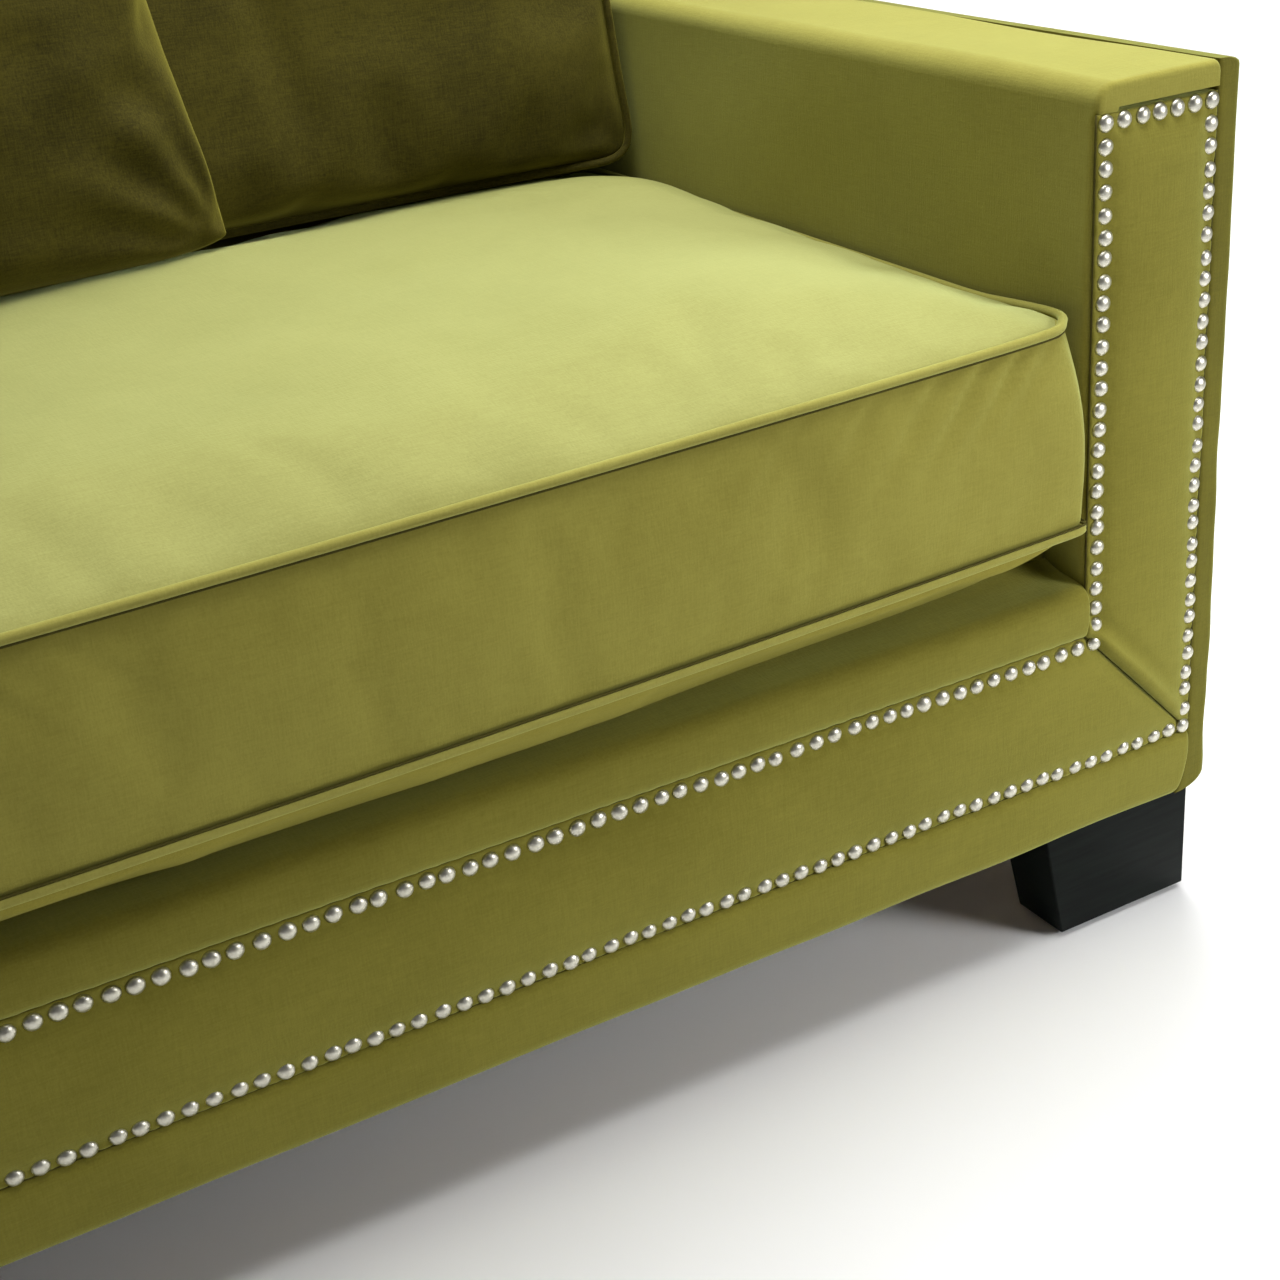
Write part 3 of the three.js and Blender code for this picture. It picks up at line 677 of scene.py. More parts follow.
def border_end(z):
    """Half width of the lower border: its end seam curves inwards towards the bottom."""
    return EDGE_X - 9.0 * np.clip((NAIL_OUT_Z - z) / (NAIL_OUT_Z - BOTTOM), 0, 1) ** 2.4


def lower_border():
    """The border below the outer nails, turned under the frame."""
    profile = curve_through([
        (3.0, BAND_LOW + 0.5), (-1.0, BAND_LOW - 0.8), (-3.0, BAND_LOW - 7), (-3.8, BAND_LOW - 22),
        (-3.0, BOTTOM + 12), (-0.8, BOTTOM + 4), (4.0, BOTTOM + 0.5), (16.0, BOTTOM),
    ], 34)
    t = spaced(-EDGE_X, EDGE_X, 3.6) / EDGE_X
    y, z = wide(profile[:, 0], len(t)), wide(profile[:, 1], len(t))
    x = (border_end(z) - 0.3) * t[None]
    flat = stack(x, y * 2 + z)
    y = y + 0.8 * ripple(flat, 160, 8) + 0.9 * dimple(x, z + 2) + roll(border_end(z) - np.abs(x), 4)
    z = z + 0.5 * ripple(flat, 180, 9) * smoothstep(BAND_LOW - 20, BOTTOM, z)
    back = stack(x, np.full_like(x, FRONT + 17.5), np.clip(z, BOTTOM + 1, None))
    return shell("front_lower_border_velvet", stack(x, FRONT + y, z), back, VELVET)


cover(front_band(), "front_band")
cover(upper_border(), "front_upper_border")
cover(lower_border(), "front_lower_border")
for where, side in SIDES.items():
    cover(arm_band(where, side), f"arm_band_{where}")


SEAM_RADIUS = 0.9
SEAM_STEP = 12
SEAM_WANDER = 0.25
SEAM_WANDER_LENGTH = 60
SEAM_Y = FRONT + 1.6


def painted_seam_shade(name, start, end, seed):
    """A thin dark cord along a seam of the front, between two places given as x and z: painted shade for the
    crease at the seam.
    """
    start, end = np.array([start[0], SEAM_Y, start[1]]), np.array([end[0], SEAM_Y, end[1]])
    count = max(12, round(np.linalg.norm(end - start) / SEAM_STEP))
    t = np.linspace(0, 1, count)[:, None]
    path = start * (1 - t) + end * t
    path[:, 0] += SEAM_WANDER * ripple(path, SEAM_WANDER_LENGTH, seed)
    path[:, 2] += SEAM_WANDER * ripple(path, SEAM_WANDER_LENGTH, seed + 1)
    cord = tube(name, path, SEAM_RADIUS, (0, 1, 0), SHADE_CORD, sides=8, closed=False)
    place(cord, "frame", "velvet")


# Dark cords along the band's seams and mitres paint the shade in their creases.
painted_seam_shade("seam_above_inner_nails", (-ARM_X, BAND_HIGH), (ARM_X, BAND_HIGH), 141)
painted_seam_shade("seam_below_outer_nails", (-EDGE_X, BAND_LOW), (EDGE_X, BAND_LOW), 142)
for where, side in SIDES.items():
    inner, outer = side * (ARM_X + 0.4), side * (EDGE_X + 0.2)
    painted_seam_shade(f"seam_mitre_{where}", (inner, BAND_HIGH), (outer, BAND_LOW), 143)
    painted_seam_shade(f"seam_arm_inside_{where}", (inner, BAND_HIGH), (inner, BAND_TOP), 144)
    painted_seam_shade(f"seam_arm_outside_{where}", (outer, BAND_LOW), (outer, BAND_TOP), 145)


# ---------------- arms, sides and back
def arm_pad(where, side):
    """The padded inside and top of an arm, wrapped over its inner edge."""
    radius, wall = 15.0, 17.0
    low = pad_low[2] + 1
    turn = np.radians(np.linspace(0, 90, 9)[1:-1])
    up = spaced(low, ARM_TOP - radius, 7.0)
    inside = stack(np.full_like(up, ARM_X), up)
    arc = stack(ARM_X + radius - radius * np.cos(turn), ARM_TOP - radius + radius * np.sin(turn))
    over = spaced(ARM_X + radius, EDGE_X - 0.3, 6.0)
    top = stack(over, np.full_like(over, ARM_TOP))
    section = np.vstack([inside, arc, top])
    normal = np.zeros_like(section)
    normal[: len(inside), 0] = -1
    normal[len(inside) : len(inside) + len(arc)] = stack(-np.cos(turn), np.sin(turn))
    normal[len(inside) + len(arc) :, 1] = 1
    x, z = section[:, :1], section[:, 1:]
    s = spaced(0, pad_high[1] - pad_low[1], 9.0) / (pad_high[1] - pad_low[1])
    start = FRONT + 3.4 - 3.9 * smoothstep(BAND_TOP - 4, BAND_TOP + 2, z)
    end = back_face(z) - 0.8
    y = start + s[None] * (end - start)
    x, z = wide(x, len(s)), wide(z, len(s))
    points = stack(x * side, y, z)
    up_arm = np.clip((z - low) / (ARM_TOP - low), 0, 1)
    swell = 2.2 * np.sin(math.pi * up_arm) + 1.2 * ripple(points, 190, 31 + side)
    swell -= roll(y - start, 4.5) + roll(EDGE_X - 0.3 - x, 3.0)
    swell -= roll(end - y, 3.0) * 0.6
    front = points + stack(side * normal[:, :1] * swell, np.zeros_like(swell), normal[:, 1:] * swell)
    back = stack(side * np.maximum(x, ARM_X + wall), y, np.minimum(z, ARM_TOP - wall))
    # The arm pad takes the lightened boxing velvet: painted light on its inside face.
    return shell(f"arm_pad_velvet_{where}", front, back, LIT_BOXING_VELVET)


TOUCH = 1e-6


def panel_edges(y, z, corner):
    """How near each point of a side panel is to its rounded edges, from 0 at an edge to 1."""
    raised = z > ARM_TOP + TOUCH
    to_corner = np.hypot(np.maximum(y - corner, 0), np.maximum(ARM_TOP - z, 0))
    beside_back = np.where(y <= corner + TOUCH, ARM_TOP - z, to_corner)
    to_step = np.where(raised, np.maximum(y - back_face(z), 0), beside_back)
    to_edge = np.minimum.reduce([
        (z - BOTTOM) / 13.0,
        to_step / 6.0,
        np.where(raised, (BACK_TOP - z) / 7.5, 1e3),
        (BACK_Y - y) / 7.5,
    ])
    return np.clip(to_edge, 0, 1)


def side_panel(where, side):
    """Outside of an arm and of the back. Its front edge shows as a narrow upright strip."""
    thickness = OUTER_X - EDGE_X
    bend = 5.0
    z = np.concatenate([spaced(BOTTOM, ARM_TOP, 10.0), spaced(ARM_TOP, BACK_TOP, 9.0)[1:]])
    z = np.unique(np.concatenate([z, BOTTOM + np.arange(1, 16) * 1.2]))
    low_rows = z <= ARM_TOP + TOUCH
    corner = float(back_face(ARM_TOP))
    turn = np.radians([15, 30, 45, 60, 75])
    strip = np.array([0.3, 1.5, 4.0, 7.5, 11.0, 14.0, thickness - bend])
    across = np.concatenate([strip, strip[-1] + bend * np.sin(turn)])
    strip_columns = len(across)
    arm_y = spaced(FRONT + bend, corner, 10.0)
    back_t = spaced(0, BACK_Y - corner, 8.0)[1:] / (BACK_Y - corner)
    across = np.concatenate([across, np.full(len(arm_y) + len(back_t), thickness)])
    arm_y = np.concatenate([np.full(len(strip), FRONT), FRONT + bend * (1 - np.cos(turn)), arm_y])
    brow = back_face(np.maximum(z, ARM_TOP))
    behind = brow[:, None] + back_t[None] * (BACK_Y - brow)[:, None]
    y = np.concatenate([np.tile(arm_y, (len(z), 1)), behind], 1)
    y[~low_rows, len(arm_y) - 1] = brow[~low_rows]
    grid_z = wide(z, y.shape[1])
    face = 1 - roll(panel_edges(y, grid_z, corner), 1.0, 2.3)
    seam = np.where(y < FRONT + 14, border_end(grid_z), EDGE_X)
    points = stack(side * (seam + across[None]), y, grid_z)
    kinks = 1.5 * ripple(points * np.array([0.2, 0.5, 1]), 34, 43 + side)
    kinks *= smoothstep(205, 150, grid_z)
    soft = 1.3 * ripple(points, 240, 41 + side) + 0.7 + kinks * (y < FRONT + 60)
    share = across[None] / thickness
    x = seam + 0.4 + (OUTER_X - seam - 0.4) * share * face + soft * share * face
    column = np.arange(y.shape[1])[None]
    on_strip = column < strip_columns
    sunk = roll(across[None], 2.6) + 1.2 - 0.8 * ripple(points, 60, 45 + side) * share
    front = stack(side * x, np.where(on_strip, y + sunk, y), grid_z)
    back_y = np.where(on_strip, FRONT + 4.5 + column * 0.55, np.maximum(y, FRONT + 13))
    back = stack(side * seam, back_y, grid_z)
    mask = np.ones((len(z) - 1, y.shape[1] - 1), bool)
    mask[int(low_rows.sum()) - 1 :, : len(arm_y) - 1] = False
    # The side panel takes a darkened copy of the velvet: painted shade.
    return shell(f"side_panel_velvet_{where}", front, back, SHADED_SIDE_VELVET, mask)


def back_pad():
    """The padded raked face of the back, rolled over its top, with wings above the arms."""
    radius, wall = 16.0, 20.0
    rear = BACK_Y - 12.5
    low = back_low[2]
    shoulder = BACK_TOP - radius
    above_arm = ARM_TOP + 0.5
    height = np.concatenate([spaced(low, above_arm, 14.0), spaced(above_arm, shoulder, 8.0)[1:]])
    face = stack(back_face(height), height)
    brow = back_face(shoulder)
    angle = np.linspace(0, 1, 9)[1:-1] * math.pi / 2
    arc = stack(brow + radius - radius * np.cos(angle), shoulder + radius * np.sin(angle))
    over = spaced(brow + radius, rear, 6.0)
    section = np.vstack([face, arc, stack(over, np.full_like(over, BACK_TOP))])
    normal = np.zeros_like(section)
    normal[: len(face)] = (-math.cos(RAKE), math.sin(RAKE))
    normal[len(face) : len(face) + len(arc)] = stack(-np.cos(angle), np.sin(angle))
    normal[len(face) + len(arc) :] = (0, 1)
    wing = spaced(ARM_X - 0.5, EDGE_X - 0.4, 8.0)
    middle = spaced(-ARM_X + 0.5, ARM_X - 0.5, 12.0)
    x = np.concatenate([-wing[::-1], middle[1:-1], wing])
    grid_x = np.tile(x, (len(section), 1))
    y, z = wide(section[:, 0], len(x)), wide(section[:, 1], len(x))
    points = stack(grid_x, y, z)
    swell = 1.5 + 1.8 * ripple(points, 260, 51)
    swell -= roll(EDGE_X - 0.4 - np.abs(grid_x), 5.0) + roll(rear - y, 3.5)
    wings = (np.abs(grid_x) > ARM_X - 1) & (z >= ARM_TOP)
    swell -= np.where(wings, roll(z - above_arm, 3.0), 0)
    to_model = np.array([[0.0, 1, 0], [0, 0, 1]])
    front = points + normal[:, None] * swell[..., None] @ to_model
    back = points + (normal[:, None] * -wall) @ to_model
    back[..., 1] = np.clip(back[..., 1], None, rear)
    mask = np.ones((len(section) - 1, len(x) - 1), bool)
    below = section[1:, 1] <= ARM_TOP + 0.6
    outside = np.abs((x[1:] + x[:-1]) / 2) > ARM_X - 0.5
    mask[np.ix_(below, outside)] = False
    return shell("back_pad_velvet", front, back, VELVET, mask)


def back_panel():
    """The flat outside of the back, seamed twice where the cloth is joined."""
    seams = np.array([-350.0, 350.0])
    beside_seam = np.array([-5, -3, -1.6, -0.8, 0, 0.8, 1.6, 3, 5])
    side, top = EDGE_X - 0.5, BACK_TOP - 0.5
    x = np.concatenate([spaced(-side, side, 11.0), *(seam + beside_seam for seam in seams)])
    x = np.unique(np.round(x, 3))
    z = spaced(BOTTOM, top, 11.0)
    grid_x, grid_z = np.meshgrid(x, z)
    edge = np.minimum.reduce([side - np.abs(grid_x), grid_z - BOTTOM, top - grid_z])
    to_seam = np.abs(grid_x[..., None] - seams).min(-1)
    flat = stack(grid_x, grid_z)
    y = BACK_Y + 0.8 + 1.3 * ripple(flat, 300, 61) - roll(edge, 6.0)
    y += 0.3 * ripple(flat, 26, 62) * np.exp(-to_seam / 12) - 1.8 * np.exp(-((to_seam / 1.5) ** 2))
    # The back panel takes the same darkened velvet: painted shade.
    return sheet("back_panel_velvet", grid_x, y, BACK_Y - 11, grid_z, SHADED_SIDE_VELVET)


def deck(name, y0, y1, material, seed):
    """Part of the cloth deck under the seat cushions."""
    x = spaced(-ARM_X + 1.5, ARM_X - 1.5, 13.0)
    y = spaced(y0, y1, 10.0)
    grid_x, grid_y = np.meshgrid(x, y)
    flat = stack(grid_x, grid_y)
    edge = np.minimum(grid_y - y0, y1 - grid_y)
    z = DECK - 0.6 + 0.5 * ripple(flat, 160, seed) - roll(edge, 3.0)
    back = stack(grid_x, grid_y, np.full_like(z, DECK - 12))
    return shell(name, stack(grid_x, grid_y, z), back, material)


for where, side in SIDES.items():
    cover(arm_pad(where, side), f"arm_pad_{where}")
    cover(side_panel(where, side), f"side_panel_{where}", fill=0.95)
cover(back_pad(), "back_pad")
cover(back_panel(), "back_panel", fill=0.95)
DECK_SEAM_Y = FRONT + 140
cover(deck("deck_front_strip", FRONT + 44.5, DECK_SEAM_Y, VELVET, 71), "deck_pad")
cover(deck("deck_canvas", DECK_SEAM_Y + 0.2, deck_high[1], CANVAS, 72), "deck_pad", slot="deck_canvas")


# ---------------- legs
def bevelled_copy(node, name, material, width):
    """A copy of a CAD piece with softened edges."""
    source = bmesh.new()
    source.from_mesh(frame["nodes"][node].data)
    bmesh.ops.remove_doubles(source, verts=source.verts, dist=1e-6)
    bmesh.ops.dissolve_limit(source, angle_limit=math.radians(1), verts=source.verts, edges=source.edges)
    mesh = bpy.data.meshes.new(name)
    source.to_mesh(mesh)
    source.free()
    mesh.materials.clear()
    mesh.materials.append(material)
    smoothed(mesh)
    made = linked(name, mesh)
    bevel = made.modifiers.new("soft_edges", "BEVEL")
    bevel.width = width * MM
    bevel.segments = 3
    bevel.limit_method = "ANGLE"
    bevel.angle_limit = math.radians(50)
    bevel.harden_normals = True
    return made


LEG_BEVEL = 2.2


for end in ("front", "rear"):
    for where in SIDES:
        block = bevelled_copy(f"leg_{end}_{where}", f"leg_block_{end}_{where}", LACQUER, LEG_BEVEL)
        place(block, "frame", "black_lacquer", f"leg_{end}_{where}")


# ---------------- cushions
PIPING_RADIUS = 3.5
PIPING_WOBBLE = 0.03
SEAM_INSET = 4.0
SEAM_DIP = 1.2
CELL = 11.0
NEXT_TO_SEAM = 0.018


class BoxCushion:
    """A piped box cushion in its own axes: a across, b along, c through its thickness.

    Its two panels and its boxing share the seam loops, which the cloth solver holds still."""

    def __init__(self, half_a, half_b):
        self.columns = round(2 * half_a / CELL)
        self.rows = round(2 * half_b / CELL)
        self.half = np.array([half_a, half_b])
        nodes_a, nodes_b = self.columns + 1, self.rows + 1
        index = np.arange(nodes_a * nodes_b).reshape(nodes_b, nodes_a)
        self.loop = np.concatenate([index[0, :-1], index[:-1, -1], index[-1, :0:-1], index[:0:-1, 0]])
        self.index = index
        u = np.linspace(-1, 1, nodes_a)
        v = np.linspace(-1, 1, nodes_b)
        self.u, self.v = np.meshgrid(u, v)

    def plan(self, corner):
        """Panel points with rounded corners."""
        a, b = self.u * self.half[0], self.v * self.half[1]
        over_a = np.maximum(np.abs(a) - (self.half[0] - corner), 0)
        over_b = np.maximum(np.abs(b) - (self.half[1] - corner), 0)
        both = np.hypot(over_a, over_b)
        factor = np.where(both > 0, np.maximum(over_a, over_b) / np.maximum(both, 1e-9), 1)
        a = np.sign(a) * (np.abs(a) - over_a + over_a * factor)
        b = np.sign(b) * (np.abs(b) - over_b + over_b * factor)
        return stack(a, b)

    def build(self, top, bottom, boxing):
        """Joins the two panels with rows of boxing. boxing(t, top_loop, bottom_loop) gives each row."""
        count = self.index.size
        top, bottom = top.reshape(-1, 3), bottom.reshape(-1, 3)
        top_loop, bottom_loop = top[self.loop], bottom[self.loop]
        rows = round(np.linalg.norm(top_loop[0] - bottom_loop[0]) / CELL)
        steps = np.linspace(0, 1, rows + 1)[1:-1]
        steps = np.unique(np.concatenate([[NEXT_TO_SEAM, 1 - NEXT_TO_SEAM], steps]))
        middle = [boxing(t, top_loop, bottom_loop) for t in steps]
        vertices = np.vstack([top, bottom, *middle])
        a, b = self.index[:-1, :-1], self.index[:-1, 1:]
        c, d = self.index[1:, 1:], self.index[1:, :-1]
        faces = [stack(a, b, c, d).reshape(-1, 4), stack(d, c, b, a).reshape(-1, 4) + count]
        size = len(self.loop)
        between = [2 * count + k * size + np.arange(size) for k in range(len(steps))]
        rings = [self.loop, *between, self.loop + count]
        for upper, lower in zip(rings, rings[1:]):
            faces.append(stack(upper, lower, np.roll(lower, -1), np.roll(upper, -1)))
        self.seams = (self.loop, self.loop + count)
        self.beside_seams = (rings[1], rings[-2])
        return vertices, np.concatenate(faces)


def outward(loop_points):
    """In-plane unit vectors pointing out of a closed loop seen from above."""
    tangent = np.roll(loop_points, -1, 0) - np.roll(loop_points, 1, 0)
    normal = stack(tangent[:, 1], -tangent[:, 0], np.zeros(len(tangent)))
    normal /= np.maximum(np.linalg.norm(normal, axis=1), 1e-9)[:, None]
    centre = loop_points.mean(0)
    flip = np.sign(((loop_points - centre) * normal).sum(1))
    return normal * np.where(flip == 0, 1, flip)[:, None]


def cloth_settings(settings, pressure, slack):
    """Velvet over a filling, with no gravity."""
    values = {
        "quality": 4, "mass": 0.35, "bending_stiffness": 0.35, "air_damping": 4,
        "tension_stiffness": 18, "compression_stiffness": 18, "shear_stiffness": 6,
        "tension_damping": 12, "compression_damping": 12, "shear_damping": 12,
        "use_pressure": True, "uniform_pressure_force": pressure, "shrink_min": -slack,
    }
    for name, value in values.items():
        setattr(settings, name, value)
    settings.effector_weights.gravity = 0


def relax_with_cloth(made, pinned, pressure, slack, frames, cap):
    """Lets the cloth solver swell and wrinkle a piece between its pinned seams.

    The cap limits how far each point moves."""
    before = np.array([v.co for v in made.data.vertices])
    group = made.vertex_groups.new(name="seams")
    if len(pinned):
        group.add([int(i) for i in pinned], 1.0, "REPLACE")
    cloth = made.modifiers.new("cloth", "CLOTH")
    cloth_settings(cloth.settings, pressure, slack)
    if len(pinned):
        cloth.settings.vertex_group_mass = "seams"
    cloth.collision_settings.use_collision = False
    cloth.point_cache.frame_start = 1
    cloth.point_cache.frame_end = frames
    scene = bpy.context.scene
    for number in range(1, frames + 1):
        scene.frame_set(number)
    depsgraph = bpy.context.evaluated_depsgraph_get()
    relaxed = np.array([v.co for v in made.evaluated_get(depsgraph).data.vertices])
    made.modifiers.remove(cloth)
    made.vertex_groups.remove(group)
    scene.frame_set(1)
    moved = relaxed - before
    length = np.linalg.norm(moved, axis=1)
    moved *= np.minimum(1, cap * MM / np.maximum(length, 1e-9))[:, None]
    made.data.vertices.foreach_set("co", (before + moved).ravel())
    made.data.update()


def sewn_cord(name, path, axis, material, body, seed):
    """Piping that rides with its cushion."""
    cord = tube(name, path, PIPING_RADIUS, axis, material, wobble=PIPING_WOBBLE, seed=seed)
    subdivide(cord)
    place(cord, body, "velvet")


def press_seams(made, cushion, vertices, to_place):
    """Draws the seam loops into the cushion, so that the piping sits in a groove."""
    for loop, dip in zip(cushion.seams, (-SEAM_DIP, SEAM_DIP)):
        pressed = vertices[loop] - outward(vertices[loop]) * SEAM_INSET + np.array([0, 0, dip])
        for i, point in zip(loop, to_place(pressed)):
            made.data.vertices[int(i)].co = Vector(point) * MM


def subdivide(made):
    """One level of subdivision."""
    smooth = made.modifiers.new("smooth", "SUBSURF")
    smooth.levels = 1
    smooth.render_levels = 1


TUCKS = ((26, 1.8), (52, 2.6), (84, 3.0), (120, 2.2), (168, 1.5), (226, 1.1))
TUCK_SLANT = 0.95
TUCK_LENGTH = 74


def tuck_boxing(made, centre, half, seam_height):
    """Slanting tucks in the front boxing of a seat cushion, under the top seam beside each corner.

    Each tuck has its distance from the corner and its depth."""
    depsgraph = bpy.context.evaluated_depsgraph_get()
    smooth = bpy.data.meshes.new_from_object(made.evaluated_get(depsgraph))
    made.modifiers.clear()
    made.data = smooth
    points = np.array([v.co for v in smooth.vertices]) / MM
    facing = np.array([v.normal for v in smooth.vertices])[:, 1]
    below = seam_height(points[:, 0]) - points[:, 2]
    from_corner = half - np.abs(points[:, 0] - centre)
    strength = smoothstep(-0.55, -0.85, facing) * smoothstep(1, 9, below)
    strength *= smoothstep(TUCK_LENGTH, 18, below)
    for start, depth in TUCKS:
        off = from_corner - start - TUCK_SLANT * below
        fold = np.exp(-((off / 6.2) ** 2)) - 0.65 * np.exp(-(((off - 12) / 7.5) ** 2))
        points[:, 1] += depth * fold * strength
    smooth.vertices.foreach_set("co", (points * MM).ravel())
    smooth.update()


def crown(t, power):
    """1 in the middle and 0 where t is -1 or 1. A greater power is flatter."""
    return 1 - np.abs(t) ** power


SEAT_SINK = 8.5
SEAT_CROWN = 34.0
SEAT_BOW = 13.0
SEAT_BOXING = 144.5
UNDER_TURN = 11.0
BOTTOM_SEAM = DECK + 39.0
TOP_SEAM = BOTTOM_SEAM + SEAT_BOXING


def settle(u):
    """How far a seat cushion sinks towards the middle of the sofa, where u is 1 beside the arm."""
    return SEAT_SINK * (np.clip(0.9 - u, 0, None) / 1.5) ** 2


def seat_plan(cushion, corner, pull, ahead_by):
    """A seat panel seen from above: bowed at the front, and drawn in at its corners by the pull."""
    u, v = cushion.u, cushion.v
    plan = cushion.plan(corner)
    a = plan[..., 0] * (1 - pull * np.abs(u) ** 6 * np.abs(v) ** 10)
    b = plan[..., 1] - (SEAT_BOW * (1 - u**2) + ahead_by) * smoothstep(0.2, -1, v)
    return a, b * (1 - pull * np.abs(u) ** 14 * np.abs(v) ** 6)


def seat_top(cushion, side):
    u, v = cushion.u, cushion.v
    a, b = seat_plan(cushion, 26, 0.015, 0)
    z = TOP_SEAM - settle(u * side) + SEAT_CROWN * (crown(u, 8.0) * crown(v, 3.8)) ** 0.8
    z = z - 8.0 * np.abs(u) ** 8 * smoothstep(-0.97, -0.62, v)
    z = z - 19.0 * smoothstep(0.34, 0.70, v) * crown(u, 8)
    top = stack(a, b, z)
    inside = np.sqrt(np.maximum(crown(u, 20) * crown(v, 20), 0))
    unevenness = 1.6 * ripple(top[..., :2], 260, 81 + side) + 0.5 * ripple(top[..., :2], 90, 83 + side)
    top[..., 2] += unevenness * inside
    return top


def seat_bottom(cushion, side):
    """The underside, which turns down and in from its seam and then lies on the deck."""
    u, v = cushion.u, cushion.v
    a, b = seat_plan(cushion, 11, 0.004, 2.0)
    inset = np.array([0, 11, 22, 33, 66, 1e4])
    drawn = np.array([0, 2.2, 9, 24, 66, 1e4])
    from_side, from_end = cushion.half[0] * (1 - np.abs(u)), cushion.half[1] * (1 - np.abs(v))
    a = a + np.sign(a) * (from_side - np.interp(from_side, inset, drawn))
    b = b + np.sign(b) * (from_end - np.interp(from_end, inset, drawn))
    nearest = (np.maximum(from_side, 1) ** -4.0 + np.maximum(from_end, 1) ** -4.0) ** -0.25
    depth = np.interp(nearest, [0, 1, 11, 22, 33, 66], [0, 0, UNDER_TURN, 17, 23, 60])
    depth *= smoothstep(4, 66, np.maximum(from_side, from_end)) ** 0.7
    return stack(a, b, np.maximum(BOTTOM_SEAM - settle(u * side) - depth, DECK + 0.8))


def seat_cushion(where, side):
    """A crowned box cushion, whose front bows forward and whose top front corners are drawn in."""
    low, high = corners(f"seat_cushion_{where}")
    front_y = low[1] + SEAT_BOW
    half_a = (high[0] - low[0]) / 2 - 4
    shift = np.array([(low[0] + high[0]) / 2, (high[1] + front_y) / 2, 0])
    cushion = BoxCushion(half_a, (high[1] - front_y) / 2 - 3)

    def boxing(t, top_loop, bottom_loop):
        bend = 1 - (1 - t) ** 2.4
        row = top_loop + (bottom_loop - top_loop) * np.array([bend, bend, t])
        swell = 2.8 * math.sin(math.pi * t) ** 0.8
        gathers = ripple(row, 30, 85 + side) * 0.6 * (math.exp(-t / 0.14) + math.exp(-(1 - t) / 0.1))
        slow = 1.3 * ripple(row, 200, 87 + side) * math.sin(math.pi * t)
        return row + outward(row) * (swell + gathers + slow)[:, None]

    vertices, faces = cushion.build(seat_top(cushion, side), seat_bottom(cushion, side), boxing)
    piping = [vertices[loop] + outward(vertices[loop]) * 1.4 for loop in cushion.seams]
    # The boxing takes the lightened boxing velvet. The top panel takes a lighter copy with more sheen, which is
    # painted light from above. The underside takes a copy with little sheen.
    made = mesh_object(f"seat_cushion_cover_{where}", vertices + shift, faces, LIT_BOXING_VELVET)
    made.data.materials.append(LIT_SEAT_VELVET)
    made.data.materials.append(VELVET_UNDER)
    panel_faces = cushion.rows * cushion.columns
    looks = [1] * panel_faces + [2] * panel_faces + [0] * (len(faces) - 2 * panel_faces)
    made.data.polygons.foreach_set("material_index", looks)
    relax_with_cloth(made, np.concatenate(cushion.seams + cushion.beside_seams), 0.35, 0.004, 16, 5.0)
    press_seams(made, cushion, vertices, lambda points: points + shift)
    subdivide(made)
    tuck_boxing(made, shift[0], half_a, lambda x: TOP_SEAM - settle((x - shift[0]) / half_a * side))
    body = f"seat_cushion_{where}"
    place(made, body, "velvet", f"seat_cushion_{where}", fill=0.85)
    # The seat piping takes a lightened velvet: painted light on its upper side.
    for name, ring in zip(("top", "bottom"), piping):
        title = f"seat_piping_{name}_{where}"
        sewn_cord(title, ring + shift, (0, 0, 1), LIT_PIPING_VELVET, body, 90)
    # A dark cord under the top piping and above the bottom piping paints the shadow in the crease beside each
    # piping.
    for name, ring, drop in zip(("top", "bottom"), piping, (-3.7, 3.6)):
        line = ring + outward(ring) * 0.9 + shift + np.array([0, 0, drop])
        crease_cord = tube(f"seat_seam_{name}_{where}", line, SEAM_RADIUS, (0, 0, 1), SHADE_CORD, sides=8)
        place(crease_cord, body, "velvet")


BACK_BOXING = 104.0


